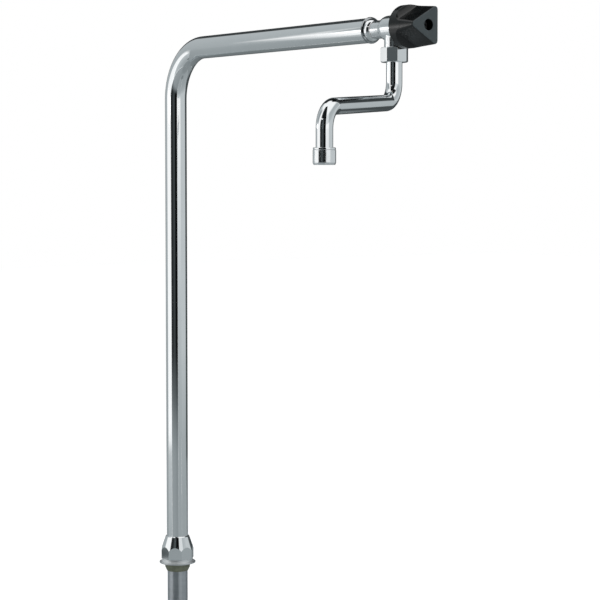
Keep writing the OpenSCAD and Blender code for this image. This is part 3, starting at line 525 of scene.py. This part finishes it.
# the branch runs up its own wall, over a fillet that touches both walls, and closes inside the barrel
branch_top = -BRANCH_DROP + BRANCH_THREAD
branch_rows = [(0, -BRANCH_DROP), (BRANCH_THREAD_R - BRANCH_CHAMFER, -BRANCH_DROP),
               (BRANCH_THREAD_R, -BRANCH_DROP + BRANCH_CHAMFER), (BRANCH_THREAD_R, branch_top),
               (BRANCH_R, branch_top)]
branch_points, branch_faces = [], []
for k in range(COLUMNS):
    a = 2 * math.pi * k / COLUMNS
    out = Vector((math.cos(a), math.sin(a), 0))
    branch_points += [out * r + Vector((0, 0, z)) for r, z in branch_rows]
    middle = out * (BRANCH_R + BRANCH_FILLET)
    past = min(0, middle.x - BARREL_END)
    middle.z = -math.sqrt((BARREL_R + BRANCH_FILLET) ** 2 - middle.y**2 - past**2)
    first = -out
    last = Vector((-past, -middle.y, -middle.z)).normalized()
    turn = first.angle(last)
    branch_points.append(middle + first * BRANCH_FILLET + Vector((0, 0, -FILLET_LEAD)))
    for s in range(FILLET_STEPS + 1):
        share = s / FILLET_STEPS
        arc = (math.sin((1 - share) * turn) * first + math.sin(share * turn) * last) / math.sin(turn)
        branch_points.append(middle + arc * BRANCH_FILLET)
    branch_points.append(middle + last * BRANCH_FILLET + last * FILLET_TAIL)
    branch_points.append(Vector((0, 0, BRANCH_CORE_Z)))
branch_rings = len(branch_points) // COLUMNS
for k in range(COLUMNS):
    near, far = k * branch_rings, (k + 1) % COLUMNS * branch_rings
    for j in range(branch_rings - 1):
        branch_faces.append((near + j, near + j + 1, far + j + 1, far + j))
spout_axis = Matrix.Translation(Vector((ARM_REACH, 0, ARM_HEIGHT)) * MM)
branch = made("branch", branch_points, branch_faces, spout_axis)
valve = worked(barrel, branch, "UNION")
outlet_start = -BRANCH_DROP - DRILL_OVER
for bore_r, start, end, place in (
        (NIPPLE_R + 0.05, INLET_FACE - DRILL_OVER, INLET_FACE + SOCKET_DEPTH, along_arm(0)),
        (INLET_R + 1, INLET_FACE - DRILL_OVER, CHAMBER_BACK + DRILL_OVER, along_arm(0)),
        (CHAMBER_R, CHAMBER_BACK, BARREL_FRONT + DRILL_OVER, along_arm(0)),
        (HEADWORK_R + 0.05, HEADWORK_BACK, BARREL_FRONT + DRILL_OVER, along_arm(0)),
        (OUTLET_R, outlet_start, -1, spout_axis),
        (SPOUT_R + 0.06, outlet_start, -BRANCH_DROP + SPOUT_PLUG + 0.5, spout_axis)):
    valve = worked(valve, rod(bore_r, start, end, place), "DIFFERENCE")
for face in valve.data.polygons:
    face.use_smooth = True
valve.data.set_sharp_from_angle(angle=math.radians(38))
cast_chrome = surface("cast_chrome", (0.90, 0.92, 0.93), 1.0, 0.17, blotch=0.03, grain=320, bump=0.05,
                      rough_swing=0.04)
dressed(valve, cast_chrome, "column", "chrome", "valve_body")


# ---- Knob ----
# The knob is one black plastic moulding: a round disc at the back and a blunt three-cornered grip whose flat
# sides end in a hollow at the disc. A screw in its recess holds it on the spindle's splines.

KNOB_BACK, KNOB_R, KNOB_LEN, KNOB_DISC, KNOB_FLAT, KNOB_SLOPE = 17.6, 23.79, 40.0, 10.0, 13.3, math.radians(8)
KNOB_HOLLOW_R, KNOB_TAPER, RECESS_R, RECESS_DEPTH, KNOB_TURN = 8.0, 0.8, 6.2, 10.0, -90.0
KNOB_CAVITY_R, KNOB_CAVITY, KNOB_HUB, SPLINE_HOLE_R, SCREW_HOLE_R = 9.5, 14.0, 26.5, 3.96, 2.05
KNOB_COLUMNS = 480


def blend_min(a, b, width):
    """The smaller of two distances, with the edge between them rounded over a width."""
    share = max(0.0, width - abs(a - b)) / width
    return min(a, b) - share * share * width / 4


def knob_wall(angle, flat, disc, inset=0.0, edge=2.6):
    """Distance from the axis to the knob's wall at an angle, for flats and a disc at these distances."""
    side = (math.degrees(angle) - KNOB_TURN - 60) % 120
    off = math.radians(min(side, 120 - side))
    return blend_min(disc - inset, (flat - inset) / math.cos(off), edge)


def knob_outline(angle):
    """The knob's outline at an angle: from its back up over the disc, the hollow, the grip and the end face,
    and down through the recess and the splined hole."""
    fall = math.tan(KNOB_SLOPE)
    hollow_z = KNOB_DISC + KNOB_HOLLOW_R
    hollow_out = KNOB_FLAT + (KNOB_LEN - hollow_z) * fall + KNOB_HOLLOW_R / math.cos(KNOB_SLOPE)
    back_edge, rim, face_edge, recess_edge = 0.4, 0.7, 1.1, 0.5
    quarter = math.pi / 2
    rows = [(KNOB_CAVITY_R, back_edge), (KNOB_CAVITY_R + back_edge, 0), (KNOB_CAVITY_R + 1, 0),
            (KNOB_R - rim - 0.5, 0)]
    rows += [(KNOB_R - rim + rim * math.sin(t), rim - rim * math.cos(t)) for t in np.linspace(0, quarter, 6)]
    rows += [(KNOB_R, z) for z in (rim + 0.3, 3, 5, 7, 8.5, 9.5)]
    # the hollow turns up from the disc until it meets the grip's slope
    for a in np.arange(3, 82.1, 3.0):
        t = math.radians(a)
        z = hollow_z - KNOB_HOLLOW_R * math.cos(t)
        rows.append((knob_wall(angle, hollow_out - KNOB_HOLLOW_R * math.sin(t), KNOB_R), z))
    start = hollow_z + KNOB_HOLLOW_R * math.sin(KNOB_SLOPE)
    for z in np.linspace(start, KNOB_LEN - face_edge, 16):
        share = (z - KNOB_DISC) / (KNOB_LEN - KNOB_DISC)
        rows.append((knob_wall(angle, KNOB_FLAT + (KNOB_LEN - z) * fall, KNOB_R - KNOB_TAPER * share), z))
    for t in np.linspace(0.12, quarter, 7):
        inset = face_edge * (1 - math.cos(t))
        z = KNOB_LEN - face_edge * (1 - math.sin(t))
        rows.append((knob_wall(angle, KNOB_FLAT + (KNOB_LEN - z) * fall, KNOB_R - KNOB_TAPER, inset), z))
    wall = rows[-1][0]
    hole = RECESS_R + 0.6
    recess_z = KNOB_LEN - RECESS_DEPTH
    rows += [(hole + (wall - hole) * s, KNOB_LEN) for s in (0.985, 0.8, 0.6, 0.4, 0.2, 0.02)]
    rows += [(RECESS_R + recess_edge - recess_edge * math.sin(t),
              KNOB_LEN - recess_edge + recess_edge * math.cos(t)) for t in np.linspace(0, quarter, 5)]
    rows += [(RECESS_R - 0.02, KNOB_LEN - 1), (RECESS_R - 0.1, recess_z + recess_edge),
             (RECESS_R - recess_edge, recess_z), (SCREW_HOLE_R, recess_z), (SCREW_HOLE_R, KNOB_HUB),
             (SPLINE_HOLE_R, KNOB_HUB), (SPLINE_HOLE_R, KNOB_CAVITY), (KNOB_CAVITY_R, KNOB_CAVITY)]
    return rows


black_plastic = surface("black_plastic", (0.0012, 0.0020, 0.0024), 0.0, 0.24, blotch=0.3, grain=1100,
                        bump=0.02, rough_swing=0.04, specular=0.36)
nodes, links = black_plastic.node_tree.nodes, black_plastic.node_tree.links
plastic_shader = nodes["Principled BSDF"]
plastic_shader.inputs["IOR"].default_value = 1.6
# the mould leaves the end face matt, and polishes the flats and the disc; the face's paler tone is painted
# sheen, standing in for the light it catches from the right
knob_face = ARM_REACH + KNOB_BACK + KNOB_LEN
face_sheen_tone, matt_rough = (0.052, 0.068, 0.074, 1), 0.42
spot = nodes.new("ShaderNodeTexCoord")
axes = nodes.new("ShaderNodeSeparateXYZ")
links.new(spot.outputs["Object"], axes.inputs["Vector"])
on_face = nodes.new("ShaderNodeMapRange")
on_face.inputs["From Min"].default_value = MM * (knob_face - 0.7)
on_face.inputs["From Max"].default_value = MM * (knob_face - 0.3)
links.new(axes.outputs["X"], on_face.inputs["Value"])
# the end face gets its real matt roughness and its painted sheen tone
for socket, kind, matt_and_sheen in (("Base Color", "RGBA", face_sheen_tone), ("Roughness", "FLOAT", matt_rough)):
    choice = nodes.new("ShaderNodeMix")
    choice.data_type = kind
    links.new(on_face.outputs["Result"], choice.inputs["Factor"])
    links.new(plastic_shader.inputs[socket].links[0].from_socket, choice.inputs["A"])
    choice.inputs["B"].default_value = matt_and_sheen
    links.new(choice.outputs["Result"], plastic_shader.inputs[socket])
knob = turned("knob_moulded", knob_outline, along_arm(KNOB_BACK),
              [2 * math.pi * k / KNOB_COLUMNS for k in range(KNOB_COLUMNS)])
dressed(knob, black_plastic, "knob", "black_plastic", "knob")


# ---- Union nut and spout ----
# The spout is a thin brass tube with two tight bends, chromed all over.
# An octagonal union nut pulls a collar on the tube up against the valve's outlet, so the spout can turn.

UNION_FOOT, UNION_H, UNION_FLAT_R, UNION_TURN, UNION_LIP = -37.8, 16.4, 14.5, math.radians(-4.3), 3.0
UNION_SIDES, UNION_ROUND, UNION_CAVITY_R, SPOUT_HOLE_R = 8, 0.4, 13.2, 9.06


def union_nut_outline(angle):
    """The union nut's outline at an angle: both of its faces fall off towards the corners."""
    wall = facet_radius(angle - UNION_TURN, UNION_SIDES, UNION_FLAT_R, UNION_ROUND)
    face_r = UNION_FLAT_R - 0.35
    fall = 0.3 + max(0, wall - UNION_FLAT_R) * 0.6
    return softened([
        (SPOUT_HOLE_R, 0, 0.15), (face_r, 0, 0.2), (wall, fall, 0.35), (wall, UNION_H - fall, 0.35),
        (face_r, UNION_H, 0.2), (UNION_CAVITY_R, UNION_H, 0.15), (UNION_CAVITY_R, UNION_LIP, 0.1),
        (SPOUT_HOLE_R, UNION_LIP, 0.1)])


union_place = spout_axis @ Matrix.Translation((0, 0, UNION_FOOT * MM))
union_nut = turned("union_nut_milled", union_nut_outline, union_place,
                   facet_angles(UNION_SIDES, UNION_FLAT_R, UNION_ROUND, UNION_TURN))
dressed(union_nut, chrome, "column", "chrome", "union_nut")

SPOUT_TURN, SPOUT_REACH, SPOUT_CORNER, SPOUT_FALL, SPOUT_BEND_R = math.radians(-64), 175.0, 82.0, 10.7, 24.0
SPOUT_BORE_R, SPOUT_END, SPOUT_COLUMNS, SPOUT_OVAL = 8.0, -142.0, 96, 0.01
SPOUT_LEG_STEP, SPOUT_RUN_STEP, SPOUT_BEND_STEP = 5.0, 8.0, 3.0
spout_slope = math.atan(SPOUT_FALL / SPOUT_REACH)
spout_bend_angle = math.pi / 2 - spout_slope
tangent = SPOUT_BEND_R * math.tan(spout_bend_angle / 2)
down = Vector((0, 0, -1))
outward = Vector((math.cos(SPOUT_TURN), math.sin(SPOUT_TURN), 0))
run_way = (outward * math.cos(spout_slope) + down * math.sin(spout_slope)).normalized()
spout_top = Vector((ARM_REACH, 0, ARM_HEIGHT - BRANCH_DROP + SPOUT_PLUG))
corner_one = Vector((ARM_REACH, 0, ARM_HEIGHT - SPOUT_CORNER))
corner_two = corner_one + outward * SPOUT_REACH + down * SPOUT_FALL
outlet_end = Vector((corner_two.x, corner_two.y, ARM_HEIGHT + SPOUT_END))
leg_end, run_start = corner_one - down * tangent, corner_one + run_way * tangent
run_end, drop_start = corner_two - run_way * tangent, corner_two + down * tangent
first_arm, second_centre = -outward * SPOUT_BEND_R, drop_start - outward * SPOUT_BEND_R
spout_legs = straight(spout_top, leg_end, SPOUT_LEG_STEP)
spout_legs += bend(leg_end - first_arm, first_arm, down, spout_bend_angle, SPOUT_BEND_STEP)
spout_legs += straight(run_start, run_end, SPOUT_RUN_STEP)
spout_legs += bend(second_centre, run_end - second_centre, run_way, spout_bend_angle, SPOUT_BEND_STEP)
spout_legs += straight(drop_start, outlet_end, SPOUT_LEG_STEP)
spout = bent_tube("spout_bent", spout_legs, outward.cross(up), SPOUT_R, SPOUT_BORE_R, SPOUT_COLUMNS,
                  oval=SPOUT_OVAL)
dressed(spout, chrome, "spout", "chrome", "spout_tube")


# ---- Aerator ----
# A chromed ferrule is brazed on the spout's end; its collar shows as a thin ring above the housing.
# The housing is a chromed cap screwed on from below, which holds a screen and a white plastic insert.

FERRULE_TOP, FERRULE_STEP, FERRULE_END = -134.2, -136.6, -144.0
FERRULE_RING_R, FERRULE_THREAD_R, FERRULE_FIT_R = 11.8, 10.9, SPOUT_R + 0.025
HOUSING_FOOT, HOUSING_H, HOUSING_LIP = -152.0, 15.2, -147.5
HOUSING_R, HOUSING_BORE_R, INSERT_HOLE_R = 12.04, 10.95, 9.4
HOUSING_TOP = HOUSING_FOOT + HOUSING_H
outlet_axis = Matrix.Translation(Vector((corner_two.x, corner_two.y, ARM_HEIGHT)) * MM)
ferrule = turned("ferrule_turned", softened([
    (SPOUT_BORE_R, FERRULE_END, 0.1), (FERRULE_THREAD_R, FERRULE_END, 0.3),
    (FERRULE_THREAD_R, FERRULE_STEP, 0.1), (FERRULE_RING_R, FERRULE_STEP, 0.3),
    (FERRULE_RING_R, FERRULE_TOP, 0.8), (FERRULE_FIT_R, FERRULE_TOP, 0.25), (FERRULE_FIT_R, SPOUT_END, 0.05),
    (SPOUT_BORE_R, SPOUT_END, 0.05)]), outlet_axis)
dressed(ferrule, chrome, "spout", "chrome", "outlet_ferrule")
housing = turned("aerator_cap_turned", softened([
    (INSERT_HOLE_R, HOUSING_FOOT, 0.3), (HOUSING_R - 0.9, HOUSING_FOOT, 0.7),
    (HOUSING_R, HOUSING_FOOT + 2.2, 1.2), (HOUSING_R, HOUSING_TOP, 0.6), (HOUSING_BORE_R, HOUSING_TOP, 0.1),
    (HOUSING_BORE_R, HOUSING_LIP, 0.1), (INSERT_HOLE_R, HOUSING_LIP, 0.1)]), outlet_axis)
dressed(housing, cast_chrome, "spout", "chrome", "aerator_housing")


# ---- Fittings that stay as the solids give them ----
# Rings, washers, brazed collars, the headwork with its spindle and jumper, and the aerator's insert
# are plain turned or moulded parts, mostly hidden, each in the finish of its own material.

white_plastic = surface("white_plastic", (0.80, 0.80, 0.77), 0.0, 0.42, blotch=0.03, bump=0.06)
pressed_fibre = surface("pressed_fibre", (0.32, 0.12, 0.07), 0.0, 0.75, blotch=0.25, grain=1800, bump=0.35,
                        speck=0.5)
dark_steel = surface("dark_steel", (0.05, 0.05, 0.052), 1.0, 0.4, blotch=0.15, grain=1200, bump=0.15)
finishes = {
    "brass": turned_brass, "black_rubber": black_rubber, "white_plastic": white_plastic,
    "fibre": pressed_fibre, "zinc_steel": zinc_steel, "dark_steel": dark_steel, "chrome": chrome,
}
for part in frame["record"]["subparts"]:
    node = frame["nodes"][part["node"]]
    if node.hide_render:
        continue
    node.data.materials.clear()
    node.data.materials.append(finishes[part["material_slot"]])


# ---- Table, light and camera ----
# The column stands on a plain white table under a wide white tent.
# Grey and black cards round the tent give the chrome its dark bands; only polished metal sees them.

TABLE_Z, TABLE_HALF = TAIL_END - 0.2, 9000
CAMERA_SIDE, CARD_STEP = 37.1, 3  # in degrees, as every angle of a card


def sweep(name, start, end, profile, fade=(0, 0)):
    """A curved card that only polished metal sees. Angles go round the column from the camera's side, plus to
    its right. profile runs outwards over the table and up the wall as (distance, height, level, cover)."""
    count = max(2, int((end - start) / CARD_STEP))
    marks = {start, start + fade[0], end - fade[1], end}
    marks = sorted(marks | {start + (end - start) * k / count for k in range(count)})
    points, faces, shades = [], [], []
    for mark in marks:
        fade_in = (mark - start) / fade[0] if fade[0] else 1
        fade_out = (end - mark) / fade[1] if fade[1] else 1
        a = math.radians(mark - CAMERA_SIDE)
        for distance, height, level, cover in profile:
            points.append((MM * distance * math.cos(a), MM * distance * math.sin(a), MM * height))
            # the darker the card, the bluer it is
            tint = min(1, level)
            colour = (level * (0.86 + 0.14 * tint), level, level * (1.05 - 0.05 * tint))
            shades.append((*colour, cover * min(1, fade_in, fade_out)))
    rows = len(profile)
    for i in range(len(marks) - 1):
        for j in range(rows - 1):
            k = i * rows + j
            faces.append((k, k + 1, k + rows + 1, k + rows))
    mesh = bpy.data.meshes.new(name)
    mesh.from_pydata(points, [], faces)
    shade = mesh.color_attributes.new("shade", "FLOAT_COLOR", "POINT")
    for k, value in enumerate(shades):
        shade.data[k].color = value
    mesh.materials.append(card_coat)
    board = bpy.data.objects.new(name, mesh)
    bpy.context.scene.collection.objects.link(board)
    board.visible_camera = board.visible_diffuse = board.visible_shadow = False
    board.visible_transmission = board.visible_volume_scatter = False


def seen_directly(tree):
    """One where the camera, a reflection or glass looks at a surface, nought for the light it gives off."""
    path = tree.nodes.new("ShaderNodeLightPath")
    found = path.outputs["Is Camera Ray"]
    for way in ("Is Glossy Ray", "Is Transmission Ray"):
        either = tree.nodes.new("ShaderNodeMath")
        either.operation = "MAXIMUM"
        tree.links.new(found, either.inputs[0])
        tree.links.new(path.outputs[way], either.inputs[1])
        found = either.outputs["Value"]
    return found


card_coat = bpy.data.materials.new("studio_card")
card_coat.use_nodes = True
nodes, links = card_coat.node_tree.nodes, card_coat.node_tree.links
nodes.clear()
card_out = nodes.new("ShaderNodeOutputMaterial")
card_shade = nodes.new("ShaderNodeVertexColor")
card_shade.layer_name = "shade"
card_glow = nodes.new("ShaderNodeEmission")
card_clear = nodes.new("ShaderNodeBsdfTransparent")
card_mix = nodes.new("ShaderNodeMixShader")
links.new(card_shade.outputs["Color"], card_glow.inputs["Color"])
links.new(card_shade.outputs["Alpha"], card_mix.inputs["Fac"])
links.new(card_clear.outputs["BSDF"], card_mix.inputs[1])
links.new(card_glow.outputs["Emission"], card_mix.inputs[2])
links.new(card_mix.outputs["Shader"], card_out.inputs["Surface"])

table_corners = ((-1, -1), (1, -1), (1, 1), (-1, 1))
table = made("table", [(x * TABLE_HALF, y * TABLE_HALF, TABLE_Z) for x, y in table_corners], [(0, 1, 2, 3)])
table_coat = bpy.data.materials.new("white_table")
table_coat.use_nodes = True
nodes, links = table_coat.node_tree.nodes, table_coat.node_tree.links
table_shader = nodes["Principled BSDF"]
table_shader.inputs["Base Color"].default_value = (0.8, 0.8, 0.8, 1)
table_shader.inputs["Roughness"].default_value = 0.9
table_shader.inputs["Specular IOR Level"].default_value = 0.1
table_shader.inputs["Emission Color"].default_value = (1, 1, 1, 1)
# this much glow on top of the lit paint makes the table as white as the tent behind it
table_glow = 0.56
table_seen = seen_directly(table_coat.node_tree)
lift = nodes.new("ShaderNodeMath")
lift.operation = "MULTIPLY"
lift.inputs[1].default_value = table_glow
links.new(table_seen, lift.inputs[0])
links.new(lift.outputs["Value"], table_shader.inputs["Emission Strength"])
table.data.materials.append(table_coat)

world = bpy.data.worlds.new("tent")
bpy.context.scene.world = world
world.use_nodes = True
nodes, links = world.node_tree.nodes, world.node_tree.links
nodes.clear()
world_out = nodes.new("ShaderNodeOutputWorld")
tent_light = nodes.new("ShaderNodeBackground")
tent_light.inputs["Color"].default_value = (0.97, 0.99, 1.0, 1)
tent_light.inputs["Strength"].default_value = 0.55
tent_seen = nodes.new("ShaderNodeBackground")
tent_seen.inputs["Color"].default_value = (1, 1, 1, 1)
tent_seen.inputs["Strength"].default_value = 1.0
tent_viewed = seen_directly(world.node_tree)
choose = nodes.new("ShaderNodeMixShader")
links.new(tent_viewed, choose.inputs["Fac"])
links.new(tent_light.outputs["Background"], choose.inputs[1])
links.new(tent_seen.outputs["Background"], choose.inputs[2])
links.new(choose.outputs["Shader"], world_out.inputs["Surface"])

FLOOR = TABLE_Z + 1  # the cards lie just over the table
DARK_WALL, OPEN_WALL, RIGHT_WALL, LEFT_WALL, FAR_WALL, ROOF = 3900, 4000, 3300, 3100, 3000, 4200
REFLECTOR, ARM_CARD, SCREEN = 650, 800, 1500
# black cards behind the camera and over it, with a grey strip between them
sweep("card_black_left", -54, -28, [
    (0, FLOOR, 0.35, 1), (1600, FLOOR, 0.33, 1), (2600, FLOOR, 0.14, 1), (3800, FLOOR, 0.025, 1),
    (DARK_WALL, 2900, 0.025, 1)], (2, 0))
sweep("card_grey_strip", -28, -8, [
    (0, FLOOR, 0.33, 1), (1600, FLOOR, 0.31, 1), (2600, FLOOR, 0.12, 1), (3800, FLOOR, 0.05, 1),
    (DARK_WALL, 780, 0.055, 1), (DARK_WALL, 860, 0.10, 1), (DARK_WALL, 3320, 0.05, 1)])
sweep("card_black_right", -8, 18, [
    (0, FLOOR, 0.32, 1), (1600, FLOOR, 0.28, 1), (2600, FLOOR, 0.09, 1), (3800, FLOOR, 0.004, 1),
    (DARK_WALL, 3600, 0.004, 1)], (0, 2))
sweep("card_black_over", -54, 18, [
    (DARK_WALL, 3300, 0.008, 1), (3850, ROOF, 0.01, 1), (700, ROOF, 0.01, 1)], (2, 2))
# the white tent on the left comes down to the table's edge; two narrow reflectors and a grey card for the
# arm's side stand close by the column
sweep("card_left_table", -103, -54, [
    (0, FLOOR, 0.34, 1), (600, FLOOR, 0.42, 1), (1000, FLOOR, 0.50, 1), (1600, FLOOR, 0.56, 1),
    (1900, FLOOR, 0.9, 0)])
sweep("card_reflector", -99.5, -85, [
    (REFLECTOR, 640, 1, 0), (REFLECTOR, 670, 1, 1), (REFLECTOR, 750, 1, 1), (REFLECTOR, 780, 1, 0)], (12, 2))
sweep("card_reflector_low", -84, -58, [
    (REFLECTOR, 600, 3.2, 0), (REFLECTOR, 615, 3.2, 1), (REFLECTOR, 690, 3.2, 1), (REFLECTOR, 705, 3.2, 0)],
    (3, 2))
sweep("card_arm_left", -91, -46, [
    (ARM_CARD, 745, 0.75, 0), (ARM_CARD, 790, 0.5, 1), (ARM_CARD, 870, 0.38, 1), (ARM_CARD, 1000, 0.34, 1),
    (ARM_CARD, 1500, 0.34, 1), (700, 1900, 0.4, 0)], (3, 6))
# grey walls left behind and right, with the table before them
sweep("card_left_grey", -150, -101, [
    (0, FLOOR, 0.30, 1), (900, FLOOR, 0.35, 1), (2500, FLOOR, 0.38, 1), (LEFT_WALL, 300, 0.42, 1),
    (LEFT_WALL, 3600, 0.5, 1), (2800, 5000, 0.7, 0)], (4, 4))
sweep("card_right_table", 18, 56, [
    (0, FLOOR, 0.34, 1), (1000, FLOOR, 0.37, 1), (2600, FLOOR, 0.44, 1), (OPEN_WALL, -60, 0.52, 1),
    (OPEN_WALL, 110, 0.57, 1), (OPEN_WALL, 470, 0.76, 1), (OPEN_WALL, 740, 0.98, 1), (OPEN_WALL, 900, 1, 0)])
sweep("card_right_grey", 52, 116, [
    (0, FLOOR, 0.34, 1), (1000, FLOOR, 0.37, 1), (1800, FLOOR, 0.42, 1), (RIGHT_WALL, 0, 0.57, 1),
    (RIGHT_WALL, 2500, 0.60, 1)], (3, 2))
sweep("card_right_top_near", 18, 47, [
    (3250, 1150, 0.7, 0), (3250, 1350, 0.75, 1), (3200, 2700, 0.75, 1), (3000, 3600, 0.9, 0)], (2, 0))
sweep("card_right_top", 47, 116, [
    (3250, 1150, 0.55, 0), (3250, 1350, 0.5, 1), (3200, 2700, 0.42, 1), (3000, 3600, 0.6, 0)], (0, 3))
# the far side: a grey wall, a dark wall beside it, a dark ceiling over both and a dark screen close behind
# the column
sweep("card_far_wall", 114, 150, [
    (0, FLOOR, 0.28, 1), (900, FLOOR, 0.28, 1), (1200, FLOOR, 0.22, 1), (1800, FLOOR, 0.10, 1),
    (2200, FLOOR, 0.18, 1), (2700, FLOOR, 0.38, 1), (FAR_WALL, 0, 0.46, 1), (FAR_WALL, 1350, 0.48, 1),
    (FAR_WALL, 1600, 0.05, 1)], (2, 3))
sweep("card_far_dark", 147, 212, [
    (0, FLOOR, 0.25, 1), (500, FLOOR, 0.22, 1), (1200, FLOOR, 0.19, 1), (2400, FLOOR, 0.16, 1),
    (3050, 0, 0.07, 1), (3050, 1600, 0.05, 1)], (0, 4))
sweep("card_far_ceiling", 114, 214, [
    (FAR_WALL, 1550, 0.05, 1), (2900, 3300, 0.045, 1), (2850, 3600, 0.006, 1), (1900, ROOF, 0.006, 1),
    (1500, 4500, 0.1, 0)], (2, 4))
sweep("card_screen", 117, 165, [(SCREEN, FLOOR, 0.07, 1), (SCREEN, 1050, 0.06, 1)], (1, 3))
# a dark sheet on the table round the foot is painted shadow, the shade the column casts there, seen only in
# the metal; a darker strip lies on the left, and one under the arm is the arm's painted shadow
FOOT_SHADOW_Z, STRIP = FLOOR + 1, FLOOR + 2
# painted shadow of the column round its foot
sweep("card_foot_shadow", -180, 180, [(0, FOOT_SHADOW_Z, 0.27, 1), (260, FOOT_SHADOW_Z, 0.27, 1), (380, FOOT_SHADOW_Z, 0.27, 0)])
sweep("card_foot_left", -110, -97, [
    (455, STRIP, 0.09, 0), (475, STRIP, 0.09, 1), (550, STRIP, 0.10, 1), (580, STRIP, 0.1, 0)], (3, 3))
# painted shadow of the arm on the table
sweep("card_arm_shadow", 20, 62, [
    (380, STRIP, 0.23, 0), (400, STRIP, 0.23, 1), (520, STRIP, 0.23, 1), (640, STRIP, 0.23, 0)], (8, 8))


def lamp(name, where, aim, size, power):
    """A soft lamp aimed at a point. Neither the camera nor the polished metal sees it."""
    light = bpy.data.lights.new(name, "AREA")
    light.shape = "RECTANGLE"
    light.size, light.size_y = size
    light.energy = power
    stand = bpy.data.objects.new(name, light)
    bpy.context.scene.collection.objects.link(stand)
    stand.location = where
    stand.rotation_mode = "QUATERNION"
    stand.rotation_quaternion = (Vector(aim) - Vector(where)).to_track_quat("-Z", "Y")
    stand.visible_camera = False
    stand.visible_glossy = False


lamp("lamp_right", where=(2.15, 1.65, 1.15), aim=(0.48, 0, 0.67), size=(1.2, 0.5), power=7.0)
lamp("lamp_top", where=(0.2, -0.5, 2.4), aim=(0.25, 0, 0.3), size=(1.6, 1.6), power=14)

# a long lens, well back on the right and a little below the arm, looks slightly down
CAMERA_PLACE = Vector((2.01494, -1.32105, 0.50278))
CAMERA_LOOK, CAMERA_TOP = (-0.79604891, 0.60172674, -0.0650466), (-0.0521672, 0.03885684, 0.99788212)
camera = bpy.data.cameras.new("camera")
camera.lens = 110.71
camera.sensor_width = 36
camera.clip_start, camera.clip_end = 0.05, 60
look = Vector(CAMERA_LOOK).normalized()
right = look.cross(Vector(CAMERA_TOP)).normalized()
tripod = Matrix((right, right.cross(look), -look)).transposed().to_4x4()
tripod.translation = CAMERA_PLACE
camera_stand = bpy.data.objects.new("camera", camera)
bpy.context.scene.collection.objects.link(camera_stand)
camera_stand.matrix_world = tripod
bpy.context.scene.camera = camera_stand
bpy.context.scene.view_settings.view_transform = "Standard"
